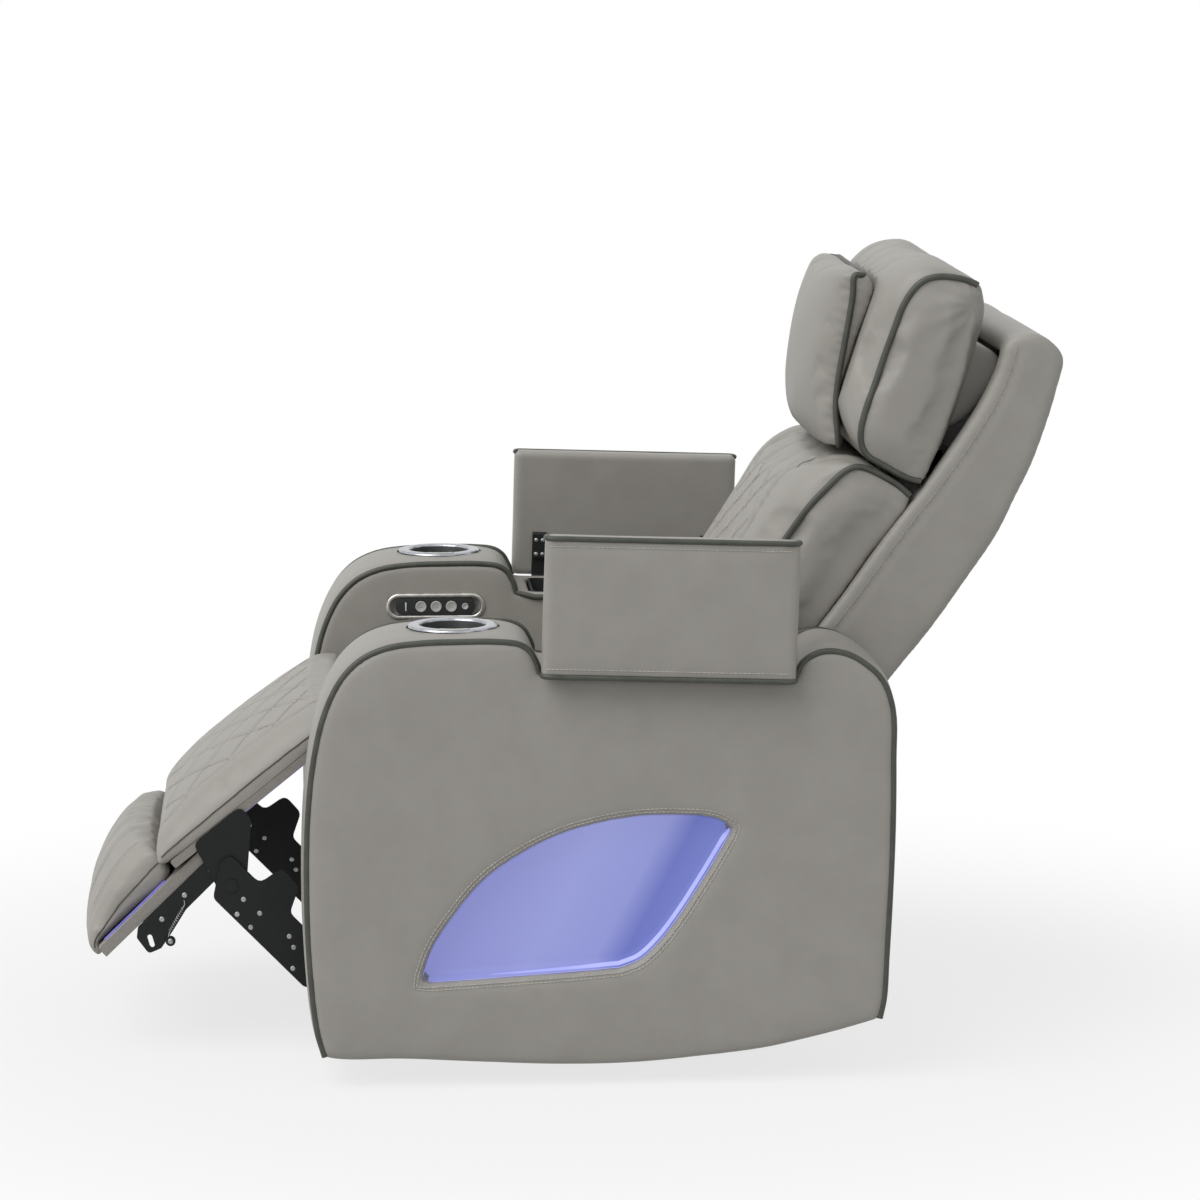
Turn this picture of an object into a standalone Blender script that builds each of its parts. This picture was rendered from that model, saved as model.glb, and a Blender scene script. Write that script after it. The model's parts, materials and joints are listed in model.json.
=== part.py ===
"""Power recliner: upholstered arms on a steel base, a reclining back, a tilting headrest,
a folding footrest on flat steel links, and arm lids over storage bins.

Metres, +Z up. The chair faces -Y, +X is the sitter's left. The origin is on the floor under
the middle of the chair as it stands here: reclined, footrest out, arm lids open.
"""

import math

import bmesh
import bpy
from mathutils import Matrix, Vector

# Whole chair
CHAIR_WIDTH = 0.940
ARM_WIDTH = 0.195
SEAM_GAP = 0.0003                # space kept between pieces that touch
INNER_FACE_X = CHAIR_WIDTH / 2 - ARM_WIDTH
PAD_CLEARANCE = 0.013            # between an arm and the padding beside it
PAD_HALF = INNER_FACE_X - PAD_CLEARANCE

# Arm outline, seen from the side
ARM_FRONT_Y = -0.372
ARM_LENGTH = 0.8015
ARM_TOP_Z = 0.618
ARM_LOW_Z = 0.030                # lowest point of the bowed bottom
ARM_FRONT_FOOT_Z = 0.045
ARM_REAR_FOOT_Z = 0.088
ARM_FRONT_CURVE = (0.144, 0.157)
ARM_REAR_CURVE = (0.098, 0.086)
ARM_REAR_TOP_Z = 0.601
ARM_BAND_BULGE = 0.008
ARM_REAR_Y = ARM_FRONT_Y + ARM_LENGTH

# Deck in the arm top, under the lid
DECK_FRONT_Y = -0.056
DECK_FRONT_Z = 0.574
DECK_SLOPE = math.radians(1.8)
LID_LENGTH = 0.345
LID_THICKNESS = 0.035
LID_ROUND = 0.007
LID_END_GAP = 0.003
LID_FLOOR_GAP = 0.003
DECK_LENGTH = LID_LENGTH + 2 * LID_END_GAP
LID_PIVOT_INSET = 0.0035         # pivot line, inwards from the arm's outer face
LID_PIVOT_DROP = 0.002           # and below the deck
LID_HEEL_GAP = 0.0015
LID_INNER_EDGE_X = 0.2705
HINGE_BARREL_RADIUS = 0.0035
HINGE_WIDTH = 0.022
HINGE_INSET = 0.0305
HINGE_PLATE_RISE = (0.030, 0.070)
HINGE_PLATE_DEPTH = 0.008
HINGE_STRAP = 0.002

# Storage bin under the lid
BIN_LENGTH = 0.299
BIN_START = 0.026
BIN_WIDTH = 0.145
BIN_DEPTH = 0.120
BIN_WALL = 0.003
BIN_CORNER = 0.014
BIN_LIP = 0.0005                 # the liner's rim lies this far under the deck

# Cup holder
CUP_Y = -0.169
CUP_MOUTH_RADIUS = 0.046
CUP_RIM_RADIUS = 0.062
CUP_DEPTH = 0.074
CUP_WALL = 0.0012
CUP_RIM_THICKNESS = 0.0035
CUP_BUTTON_RADII = (0.0498, 0.0585)
CUP_BUTTON_SPREAD = 22
CUP_BUTTON_SEAT = 0.0008
CUP_BUTTON_RISE = 0.0010
CUP_BUTTON_TRAVEL = 0.0012

# Leaf-shaped light recess in the arm's outer face
LEAF_LEFT = (-0.219, 0.147)
LEAF_TIP = (0.2095, 0.360)
LEAF_HEEL = (0.089, 0.1665)
LEAF_TOP_SAG = 0.100
LEAF_SIDE_SAG = 0.006
LEAF_DEPTH = 0.030
LEAF_PANEL_THICKNESS = 0.003
LEAF_PANEL_GAP = 0.0006

# Control pad on the right arm's inner face
PAD_CENTRE = (-0.177, 0.555)
PAD_BEZEL = (0.150, 0.040)
PAD_PLATE = (0.121, 0.027)
PAD_BEZEL_THICKNESS = 0.005
PAD_PLATE_THICKNESS = 0.0035
PAD_POCKET_DEPTH = 0.014
BUTTON_RADIUS = 0.0066
SMALL_BUTTON_RADIUS = 0.0042
BUTTON_LENGTH = 0.009
BUTTON_RISE = 0.0016
BUTTON_TRAVEL = 0.0014
BUTTON_GAP = 0.0004
BUTTON_OFFSETS = (-0.022, 0.001, 0.024)
SMALL_BUTTON_OFFSET = 0.045
INDICATOR_OFFSET = -0.045
INDICATOR_SIZE = (0.003, 0.014)

# Flat steel plates stand in layers beside the arm, counted inwards
PLATE = 0.004
LAYER_GAP = 0.0008

# Base
RAIL_LOW_Z = 0.012
RAIL_HEIGHT = 0.028
RAIL_WIDTH = 0.034
RAIL_FRONT_Y = -0.290
RAIL_REAR_Y = 0.300
GLIDE_RADIUS = 0.016
GLIDE_Y = (-0.265, 0.275)
CROSS_TUBE = 0.025
CROSS_TUBE_Y = (-0.010, 0.255)

# Seat
SEAT_FRONT_Y = -0.3085
SEAT_REAR_Y = 0.0860
SEAT_HALF = PAD_HALF
SEAT_FRONT_TOP_Z = 0.513
SEAT_REAR_TOP_Z = 0.474
FRONT_RAIL = ((-0.2975, 0.310), (-0.2625, 0.3665))    # lower front and upper rear corners
REAR_RAIL = ((0.0625, 0.310), (0.0975, 0.3665))
SPRING_WIRE_RADIUS = 0.0018
SPRING_ROD_RADIUS = 0.0025
SPRING_COUNT = 4
SPRING_PITCH = 0.115
SPRING_SWING = 0.026
SPRING_LOOPS = 7

# Footrest linkage, side view points (Y, Z)
CRANK_PIVOT = (-0.2125, 0.330)
KNEE_PIVOT = (-0.3655, 0.126)
LEG_PIVOT = (-0.4795, 0.243)
TORQUE_TUBE_RADIUS = 0.011
RIVET_RADIUS = 0.006
RIVET_GAP = 0.0003
FLIPPER_PIN_RADIUS = 0.0045
CRANK_WIDTH = 0.034
LINK_WIDTH = 0.061

# Leg rest: a frame whose origin is the rear end of its board's underside
LEG_ORIGIN = (-0.3125, 0.4635)
LEG_PITCH = math.radians(38.8)
LEG_LENGTH = 0.318
LEG_HALF = PAD_HALF
LEG_BOARD_THICKNESS = 0.012
LEG_SEAM_RISE = 0.033
LEG_CROWN_RISE = 0.072

# Flipper: a frame whose origin is its hinge
FLIPPER_HINGE_RUN = LEG_LENGTH - 0.068
FLIPPER_HINGE_DROP = 0.0085      # under the leg board
FLIPPER_PITCH = math.radians(44.1)
FLIPPER_BOARD_LENGTH = 0.222
FLIPPER_BOARD_HALF_THICKNESS = 0.008
FLIPPER_PAD_HALF = PAD_HALF - 0.030
FLIPPER_PAD_START = 0.074
FLIPPER_PAD_SIDE_END = 0.226
FLIPPER_PAD_END = 0.260
BUMPER_AT = (0.141, -0.0545)
BUMPER_RADIUS = 0.007
BUMPER_WIDTH = 0.0045
COIL_ENDS = ((0.096, -0.033), (0.130, -0.043))
COIL_RADIUS = 0.0018
COIL_WIRE_RADIUS = 0.0007
COIL_CURLS = 10
COIL_POINTS = 8                  # points in each curl

# Back: a frame whose origin is the recline pivot
BACK_PIVOT = (0.1725, 0.420)
BACK_LEAN = math.radians(34.4)
BACK_HEIGHT = 0.762
SHELL_FRONT = 0.042
CUSHION_HALF = PAD_HALF
CUSHION_HEIGHT = 0.4795
CUSHION_SEAM_FRONT = 0.070
CUSHION_CROWN = 0.026
BACK_CHANNEL_X = CUSHION_HALF - 0.112
BACK_PIN_RADIUS = 0.006
BACK_TUBE_AT = (-0.0405, 0.088)
BACK_TUBE_RADIUS = 0.0095
SHELL_POCKET = ((0.492, -0.030), (0.712, 0.112))
SHELL_POCKET_HALF = PAD_HALF - 0.036
POCKET_TAPER = 0.022

# Headrest: a frame whose origin is the lower back corner of its pad
HEAD_ORIGIN = (0.4965, 0.802)
HEAD_LEAN = math.radians(17.9)
HEAD_HEIGHT = 0.293
HEAD_DEPTH = 0.114
HEAD_CROWN = 0.028
HEAD_HALF = PAD_HALF
HEAD_HINGE = (0.010, 0.0125)
HEAD_ROD_RADIUS = 0.005
HEAD_LUG_X = 0.058
HEAD_REAR_LINE = ((0.030, 0.002), (0.103, 0.008))
PILLOW_HALF = PAD_HALF - 0.087
PILLOW_HEIGHT = 0.252
PILLOW_THICKNESS = 0.066

# Actuators under the seat; each nut's pin works in a slotted lug
ACTUATOR_RAIL = (0.020, 0.008)
MOTOR_RADIUS = 0.021
NUT_SIZE = (0.020, 0.028, 0.018)
LUG_PIN_RADIUS = 0.004
LUG_GAP = 0.0025
LUG_END_MARGIN = 0.007
FOOT_ACTUATOR_X = -0.055
FOOT_RAIL_Z = 0.274
FOOT_MOTOR_Y = (-0.030, 0.050)
FOOT_LUG_SWING = math.radians(30)
FOOT_SLOT_HALF = 0.0052
BACK_ACTUATOR_X = 0.075
BACK_RAIL_Z = 0.203
BACK_MOTOR_Y = (-0.018, 0.045)
BACK_LUG_REST = math.radians(1.5)
BACK_LUG_SWING = math.radians(25)
BACK_SLOT_HALF = 0.0068
INLET_X = -0.120


# Materials

def material(name, colour, roughness, metallic=0.0, alpha=1.0):
    """A Principled material made once and shared by name."""
    made = bpy.data.materials.get(name)
    if made:
        return made
    made = bpy.data.materials.new(name)
    made.use_nodes = True
    shader = made.node_tree.nodes["Principled BSDF"]
    shader.inputs["Base Color"].default_value = (*colour, 1.0)
    shader.inputs["Roughness"].default_value = roughness
    shader.inputs["Metallic"].default_value = metallic
    shader.inputs["Alpha"].default_value = alpha
    made.diffuse_color = (*colour, alpha)
    return made


def leather():
    return material("grey_leather", (0.29, 0.275, 0.25), 0.5)


def backing():
    return material("board_cover", (0.22, 0.21, 0.20), 0.8)


def black_steel():
    return material("black_steel", (0.02, 0.02, 0.022), 0.45, 0.6)


def zinc():
    return material("zinc", (0.55, 0.56, 0.56), 0.35, 0.9)


def cup_steel():
    return material("cup_steel", (0.62, 0.63, 0.64), 0.22, 1.0)


def satin_silver():
    return material("satin_silver", (0.56, 0.55, 0.53), 0.35, 0.8)


def black_plastic():
    return material("black_plastic", (0.03, 0.03, 0.032), 0.45)


def button_grey():
    return material("button_grey", (0.33, 0.33, 0.33), 0.4)


def light_lens():
    return material("light_lens", (0.27, 0.28, 0.62), 0.4)


def plywood():
    return material("plywood", (0.55, 0.42, 0.28), 0.7)


def rubber():
    return material("rubber", (0.03, 0.03, 0.03), 0.85)


# Points in the side view

def framed(origin, along, points):
    """Turns (run, rise) points of a tilted frame into (Y, Z); along and its left normal are axes."""
    ay, az = along
    return [(origin[0] + run * ay - rise * az, origin[1] + run * az + rise * ay)
            for run, rise in points]


def back_points(points, origin=BACK_PIVOT, lean=BACK_LEAN):
    """(height, depth) points of a leaning frame, depth counted to the rear, as (Y, Z)."""
    rise_y, rise_z = math.sin(lean), math.cos(lean)
    return [(origin[0] + height * rise_y + depth * rise_z,
             origin[1] + height * rise_z - depth * rise_y) for height, depth in points]


def head_points(points):
    return back_points(points, HEAD_ORIGIN, HEAD_LEAN)


def leg_points(points):
    """(run down the leg rest, rise off its board) as (Y, Z)."""
    run_y, run_z = -math.cos(LEG_PITCH), -math.sin(LEG_PITCH)
    return [(LEG_ORIGIN[0] + run * run_y + rise * run_z,
             LEG_ORIGIN[1] + run * run_z - rise * run_y) for run, rise in points]


FLIPPER_HINGE = leg_points([(FLIPPER_HINGE_RUN, -FLIPPER_HINGE_DROP)])[0]


def flipper_points(points):
    run_y, run_z = -math.cos(FLIPPER_PITCH), -math.sin(FLIPPER_PITCH)
    return [(FLIPPER_HINGE[0] + run * run_y + rise * run_z,
             FLIPPER_HINGE[1] + run * run_z - rise * run_y) for run, rise in points]


def bow(start, end, sag, steps):
    """Points of an arc from start up to, but without, end; a positive sag swells to the left."""
    (y0, z0), (y1, z1) = start, end
    if abs(sag) < 1e-6:
        return [(y0 + (y1 - y0) * i / steps, z0 + (z1 - z0) * i / steps) for i in range(steps)]
    chord = math.hypot(y1 - y0, z1 - z0)
    radius = chord ** 2 / (8 * abs(sag)) + abs(sag) / 2
    half = math.asin(min(1.0, chord / (2 * radius)))
    points = []
    for i in range(steps):
        turn = -half + 2 * half * i / steps
        along = chord / 2 + radius * math.sin(turn)
        off = math.copysign(radius * math.cos(turn) - (radius - abs(sag)), sag)
        points.append((y0 + (y1 - y0) * along / chord - (z1 - z0) * off / chord,
                       z0 + (z1 - z0) * along / chord + (y1 - y0) * off / chord))
    return points


def ellipse(centre, radii, start, end, steps):
    """Points of an elliptic arc from start to end degrees, both ends included."""
    turns = [math.radians(start + (end - start) * i / steps) for i in range(steps + 1)]
    return [(centre[0] + radii[0] * math.cos(t), centre[1] + radii[1] * math.sin(t)) for t in turns]


def rounded(points, radii, steps=3):
    """A polygon whose corners are rounded; radii is one radius, or one for each corner."""
    if not isinstance(radii, (list, tuple)):
        radii = [radii] * len(points)
    outline = []
    for i, corner in enumerate(points):
        here = Vector(corner)
        before = Vector(points[i - 1]) - here
        after = Vector(points[(i + 1) % len(points)]) - here
        angle = before.angle(after)
        reach = radii[i] / math.tan(angle / 2)
        reach = min(reach, before.length * 0.49, after.length * 0.49)
        if radii[i] <= 0 or angle > math.radians(176):
            outline.append(tuple(here))
            continue
        start = here + before.normalized() * reach
        end = here + after.normalized() * reach
        for j in range(steps + 1):
            t = j / steps
            outline.append(tuple(start * (1 - t) ** 2 + here * 2 * t * (1 - t) + end * t ** 2))
    return outline


def smooth_closed(points, steps=3):
    """A closed curve through the points, each span's tangents as long as the span itself."""
    corners = [Vector(point) for point in points]
    headings = []
    for i, here in enumerate(corners):
        ahead = (corners[(i + 1) % len(corners)] - here).normalized()
        headings.append((ahead + (here - corners[i - 1]).normalized()).normalized())
    curve = []
    for i, here in enumerate(corners):
        after = corners[(i + 1) % len(corners)]
        length = (after - here).length
        for j in range(steps):
            t = j / steps
            curve.append(tuple(here * (2 * t ** 3 - 3 * t ** 2 + 1) + after * (3 * t ** 2 - 2 * t ** 3)
                               + length * headings[i] * (t ** 3 - 2 * t ** 2 + t)
                               + length * headings[(i + 1) % len(corners)] * (t ** 3 - t ** 2)))
    return curve


def above(points, floor):
    """A smooth closed curve through (run, rise) points, flattened where it would pass the floor."""
    return [(run, max(rise, floor)) for run, rise in smooth_closed(points, 2)]


def capsule(start, end, radius, steps=5):
    """The outline of a flat link: a strip with round ends."""
    heading = math.degrees(math.atan2(end[1] - start[1], end[0] - start[0]))
    return (ellipse(end, (radius, radius), heading - 90, heading + 90, steps)
            + ellipse(start, (radius, radius), heading + 90, heading + 270, steps))


def moved_out(loop, distances):
    """Each point moved along the loop's outward normal by its own distance."""
    area = sum(loop[i - 1][0] * loop[i][1] - loop[i][0] * loop[i - 1][1] for i in range(len(loop)))
    sign = 1.0 if area > 0 else -1.0
    result = []
    for i, point in enumerate(loop):
        here = Vector(point)
        ahead = (Vector(loop[(i + 1) % len(loop)]) - here).normalized()
        ahead += (here - Vector(loop[i - 1])).normalized()
        normal = Vector((ahead.y, -ahead.x)).normalized() * sign
        result.append((point[0] + normal.x * distances[i], point[1] + normal.y * distances[i]))
    return result


def plate_layer(layer, side=1):
    """Lower and upper X of a steel plate layer; layer 0 lies against the arm."""
    outer = INNER_FACE_X - SEAM_GAP - layer * (PLATE + LAYER_GAP)
    return (outer - PLATE, outer) if side > 0 else (-outer, PLATE - outer)


def deck_matrix():
    """The frame of the arm's deck: origin at its front edge, run towards the rear along +Y."""
    return Matrix.Translation((0, DECK_FRONT_Y, DECK_FRONT_Z)) @ Matrix.Rotation(-DECK_SLOPE, 4, "X")


def deck_z(y):
    return DECK_FRONT_Z - (y - DECK_FRONT_Y) * math.tan(DECK_SLOPE)


# Solids

def finish(bm, name, surface, smooth_angle=35):
    """Makes an object of a closed mesh, with faces outward and round parts shaded smooth."""
    bmesh.ops.recalc_face_normals(bm, faces=bm.faces)
    mesh = bpy.data.meshes.new(name)
    bm.to_mesh(mesh)
    bm.free()
    mesh.materials.append(surface)
    mesh.shade_smooth()
    mesh.set_sharp_from_angle(angle=math.radians(smooth_angle))
    made = bpy.data.objects.new(name, mesh)
    bpy.context.scene.collection.objects.link(made)
    return made


def loft(bm, rings):
    """Skins a list of closed rings of 3-D points and caps both ends."""
    grid = [[bm.verts.new(point) for point in ring] for ring in rings]
    count = len(grid[0])
    for lower, upper in zip(grid, grid[1:]):
        for i in range(count):
            bm.faces.new((lower[i - 1], lower[i], upper[i], upper[i - 1]))
    bm.faces.new(grid[0])
    bm.faces.new(grid[-1])


def add_prism(bm, outline, low_x, high_x):
    """A side-view outline given a thickness along X."""
    loft(bm, [[(x, y, z) for y, z in outline] for x in (low_x, high_x)])


def prism(name, outline, low_x, high_x, surface):
    bm = bmesh.new()
    add_prism(bm, outline, low_x, high_x)
    return finish(bm, name, surface)


def add_box(bm, low, high):
    lo, hi = low, high
    rings = [[(x, lo[1], lo[2]), (x, hi[1], lo[2]), (x, hi[1], hi[2]), (x, lo[1], hi[2])]
             for x in (lo[0], hi[0])]
    loft(bm, rings)


def box(name, low, high, surface, edge=0.0, edge_steps=2):
    """A box, with its edges rounded where edge is given."""
    bm = bmesh.new()
    add_box(bm, low, high)
    if edge:
        bmesh.ops.bevel(bm, geom=bm.edges[:], offset=edge, segments=edge_steps, affect="EDGES",
                        profile=0.5)
    return finish(bm, name, surface)


def add_rod(bm, centre, axis, radius, start, end, sides=12):
    """A round rod along an axis letter, between start and end on that axis."""
    rings = []
    for station in (start, end):
        ring = []
        for i in range(sides):
            turn = 2 * math.pi * i / sides
            a, b = radius * math.cos(turn), radius * math.sin(turn)
            if axis == "X":
                ring.append((station, centre[1] + a, centre[2] + b))
            elif axis == "Y":
                ring.append((centre[0] + a, station, centre[2] + b))
            else:
                ring.append((centre[0] + a, centre[1] + b, station))
        rings.append(ring)
    loft(bm, rings)


def rod(name, centre, axis, radius, start, end, surface, sides=12):
    bm = bmesh.new()
    add_rod(bm, centre, axis, radius, start, end, sides)
    return finish(bm, name, surface)


def turned(name, centre, profile, surface, sides=28):
    """A solid of revolution about a vertical axis; profile is a closed loop of (radius, z)."""
    bm = bmesh.new()
    rings = []
    for i in range(sides):
        turn = 2 * math.pi * i / sides
        rings.append([bm.verts.new((centre[0] + r * math.cos(turn), centre[1] + r * math.sin(turn),
                                    centre[2] + z)) for r, z in profile])
    count = len(profile)
    for k in range(sides):
        here, after = rings[k], rings[(k + 1) % sides]
        for i in range(count):
            if profile[i - 1][0] < 1e-7 and profile[i][0] < 1e-7:
                continue
            bm.faces.new((here[i - 1], here[i], after[i], after[i - 1]))
    bmesh.ops.remove_doubles(bm, verts=bm.verts, dist=1e-6)
    return finish(bm, name, surface)


def boolean(target, tool, operation="DIFFERENCE"):
    """A Boolean modifier; the tool stays as a hidden guide."""
    tool.hide_render = True
    tool.display_type = "WIRE"
    change = target.modifiers.new(operation.lower(), "BOOLEAN")
    change.object = tool
    change.operation = operation
    change.solver = "EXACT"
    return target


def join(target, pieces):
    """Boolean union of several guides into one body."""
    for piece in pieces:
        boolean(target, piece, "UNION")
    return target


def drill(target, name, centre, radius, low_x, high_x, sides=12):
    """A round hole along X."""
    tool = rod(name + "_bore", (0, *centre), "X", radius, low_x, high_x, zinc(), sides)
    return boolean(target, tool)


CUSHION_STATIONS = (1.0, 0.985, 0.94, 0.84, 0.66, 0.42, 0.16)
CUSHION_EDGE = 0.008


def cushion(name, side, centre, half_width, surface, power=2.3, channel=None):
    """A boxed cushion: side is its seam outline, centre its outline at the middle, and between
    them it swells; the ends are drawn in. channel is (x, depth as a share of the swell)."""
    stations = {round(s * sign, 6) for s in CUSHION_STATIONS for sign in (1, -1)}
    if channel:
        for offset in (-0.014, 0.0, 0.014):
            stations.update(((channel[0] + offset) / half_width, -(channel[0] + offset) / half_width))
    rings = []
    for station in sorted(stations):
        reach = min(1.0, abs(station) / CUSHION_STATIONS[1])
        swell = (1 - reach ** power) ** (1 / power)
        if channel:
            swell -= channel[1] * math.exp(-((abs(station) * half_width - channel[0]) / 0.009) ** 2)
        ring = [(a[0] + (b[0] - a[0]) * swell, a[1] + (b[1] - a[1]) * swell)
                for a, b in zip(side, centre)]
        if abs(station) == 1.0:
            ring = moved_out(ring, [-CUSHION_EDGE] * len(ring))
        rings.append([(station * half_width, y, z) for y, z in ring])
    bm = bmesh.new()
    loft(bm, rings)
    return finish(bm, name, surface, 60)


def side_name(side):
    return "left" if side > 0 else "right"


def span(side, low, high):
    """An X range given for the left side, mirrored for the right one."""
    return (low, high) if side > 0 else (-high, -low)


# Arms

def arm_outline():
    """Side view of an arm, clockwise from its front foot, and the share of the band's swell that
    each point takes: none in the deck, where the lid lies."""
    foot = (ARM_FRONT_Y + 0.0225, ARM_FRONT_FOOT_Z)
    front_top = (ARM_FRONT_Y + 0.0115, ARM_TOP_Z - ARM_FRONT_CURVE[1])
    deck_end_y = DECK_FRONT_Y + DECK_LENGTH * math.cos(DECK_SLOPE)
    hump_y = ARM_REAR_Y - 0.002 - ARM_REAR_CURVE[0]
    hump_z = ARM_REAR_TOP_Z - ARM_REAR_CURVE[1]
    rear_foot = (ARM_REAR_Y - 0.0155, ARM_REAR_FOOT_Z)
    low_point = (ARM_FRONT_Y + 0.4275, ARM_LOW_Z)
    corner = (0.046, 0.030)
    loop = bow(foot, front_top, 0.0165, 8)
    loop += ellipse((front_top[0] + ARM_FRONT_CURVE[0], front_top[1]), ARM_FRONT_CURVE, 180, 90, 9)
    loop += ellipse((DECK_FRONT_Y - corner[0] - 0.002, ARM_TOP_Z - corner[1]), corner, 90, 12, 4)
    shares = [1.0] * (len(loop) - 3) + [0.8, 0.5, 0.2]
    deck = [(DECK_FRONT_Y, ARM_TOP_Z - corner[1] + 0.002), (DECK_FRONT_Y, DECK_FRONT_Z),
            (deck_end_y, deck_z(deck_end_y))]
    deck += ellipse((hump_y, ARM_REAR_TOP_Z - 0.030), (hump_y - deck_end_y, 0.030), 180, 112, 3)
    loop += deck
    shares += [0.0] * (len(deck) - 2) + [0.3, 0.7]
    rear = ellipse((hump_y, hump_z), ARM_REAR_CURVE, 90, 8, 7)
    rear += bow((ARM_REAR_Y - 0.002, hump_z), rear_foot, 0.0075, 6)
    rear += bow(rear_foot, low_point, 0.013, 6)
    rear += bow(low_point, (foot[0] + 0.0135, foot[1] - 0.003), 0.0, 4)
    rear.append((foot[0] + 0.0135, foot[1] - 0.003))
    return loop + rear, shares + [1.0] * len(rear)


ARM_STATIONS = ((0.0, -0.0020), (0.0006, 0.0010), (0.0035, 0.0030), (0.0068, 0.0008),
                (0.0160, 0.0045), (0.0320, ARM_BAND_BULGE))


def arm_body(side):
    """Two flat padded panels with a piped seam round each, and a swelling band between them."""
    outline, shares = arm_outline()
    rings = []
    for inner, stations in ((False, ARM_STATIONS), (True, ARM_STATIONS[::-1])):
        for depth, rise in stations:
            ring = moved_out(outline, [rise * share for share in shares])
            x = INNER_FACE_X + depth if inner else CHAIR_WIDTH / 2 - depth
            rings.append([(side * x, y, z) for y, z in ring])
    bm = bmesh.new()
    loft(bm, rings)
    return finish(bm, "arm_" + side_name(side), leather(), 40)


def leaf_outline():
    """The recess in the arm's outer face: a bowed top edge running to a tip, a straight foot."""
    tip_side = (LEAF_HEEL[0] + 0.012, LEAF_HEEL[1] + 0.024)
    outline = bow(LEAF_LEFT, LEAF_TIP, LEAF_TOP_SAG, 14)
    outline += bow(LEAF_TIP, tip_side, LEAF_SIDE_SAG, 5)
    bend = Vector(LEAF_HEEL)
    outline += [tip_side, tuple(bend + Vector((0.0, 0.0085))), tuple(bend + Vector((-0.016, 0.001))),
                tuple(bend + Vector((-0.036, -0.0035)))]
    return outline


def rounded_rectangle(centre, size, radius, steps=3):
    (cx, cy), (width, length) = centre, size
    corners = [(cx - width / 2, cy - length / 2), (cx + width / 2, cy - length / 2),
               (cx + width / 2, cy + length / 2), (cx - width / 2, cy + length / 2)]
    return rounded(corners, radius, steps)


def upright_loft(name, layers, surface, matrix=None):
    """Skins plan outlines, each given with its height."""
    bm = bmesh.new()
    loft(bm, [[(x, y, z) for x, y in outline] for outline, z in layers])
    if matrix:
        bm.transform(matrix)
    return finish(bm, name, surface)


def bin_centre(side):
    return side * (CHAIR_WIDTH - ARM_WIDTH) / 2, BIN_START + BIN_LENGTH / 2


def bin_outline(side, grown):
    size = (BIN_WIDTH + 2 * grown, BIN_LENGTH + 2 * grown)
    return rounded_rectangle(bin_centre(side), size, BIN_CORNER + grown)


def storage_bin(side):
    """An open liner let into the deck."""
    outer, inner = bin_outline(side, 0.0), bin_outline(side, -BIN_WALL)
    layers = [(outer, -BIN_DEPTH), (outer, -BIN_LIP), (inner, -BIN_LIP), (inner, BIN_WALL - BIN_DEPTH)]
    return upright_loft("storage_bin_" + side_name(side), layers, black_plastic(), deck_matrix())


def bin_pocket(side):
    outline = bin_outline(side, SEAM_GAP)
    layers = [(outline, -BIN_DEPTH - SEAM_GAP), (outline, 0.05)]
    return upright_loft("bin_pocket_" + side_name(side), layers, zinc(), deck_matrix())


def cup_centre(side):
    return side * (CHAIR_WIDTH - ARM_WIDTH) / 2, CUP_Y, ARM_TOP_Z + ARM_BAND_BULGE + SEAM_GAP


def cup_pocket(side):
    x, y, z = cup_centre(side)
    radius = CUP_MOUTH_RADIUS + 2 * SEAM_GAP
    return rod("cup_pocket_" + side_name(side), (x, y, 0), "Z", radius,
               z - CUP_DEPTH - SEAM_GAP, z + 0.02, zinc(), 28)


def ring_sector(centre, radii, half_angle, grown, steps=6):
    """The crescent of a ring around a cup, on its left side, with rounded corners."""
    low, high = radii[0] - grown, radii[1] + grown
    spread = half_angle + math.degrees(grown / radii[1])
    outline = ellipse(centre, (high, high), -spread, spread, steps)
    return outline + ellipse(centre, (low, low), spread, -spread, steps)


def cup_holder(side):
    x, y, z = cup_centre(side)
    wall, mouth, rim, thick = CUP_WALL, CUP_MOUTH_RADIUS, CUP_RIM_RADIUS, CUP_RIM_THICKNESS
    profile = [(0, -CUP_DEPTH), (mouth - 0.006, -CUP_DEPTH), (mouth, -CUP_DEPTH + 0.005), (mouth, 0),
               (rim, 0), (rim, thick - 0.001), (rim - 0.0012, thick), (mouth + 0.0015, thick),
               (mouth - wall, thick - 0.0018), (mouth - wall, -CUP_DEPTH + 0.006),
               (mouth - 0.007, -CUP_DEPTH + wall), (0, -CUP_DEPTH + wall)]
    holder = turned("cup_holder_" + side_name(side), (x, y, z), profile, cup_steel())
    seat = ring_sector((x, y), CUP_BUTTON_RADII, CUP_BUTTON_SPREAD, BUTTON_GAP)
    cutter = upright_loft("cup_button_seat_" + side_name(side),
                          [(seat, z + CUP_BUTTON_SEAT), (seat, z + 0.02)], zinc())
    return boolean(holder, cutter)


def cup_button(side):
    x, y, z = cup_centre(side)
    outline = ring_sector((x, y), CUP_BUTTON_RADII, CUP_BUTTON_SPREAD, 0.0)
    low = z + CUP_BUTTON_SEAT + CUP_BUTTON_TRAVEL + BUTTON_GAP / 2
    top = z + CUP_RIM_THICKNESS + CUP_BUTTON_RISE
    return upright_loft("cup_button_" + side_name(side), [(outline, low), (outline, top)],
                        button_grey())


def deck_box(name, low, high, surface, edge=0.0):
    """A box given in the deck's frame."""
    made = box(name, low, high, surface, edge, 3)
    made.data.transform(deck_matrix())
    return made


def lid_ends():
    """The stretch of a lid along the deck."""
    return LID_END_GAP, LID_END_GAP + LID_LENGTH


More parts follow.
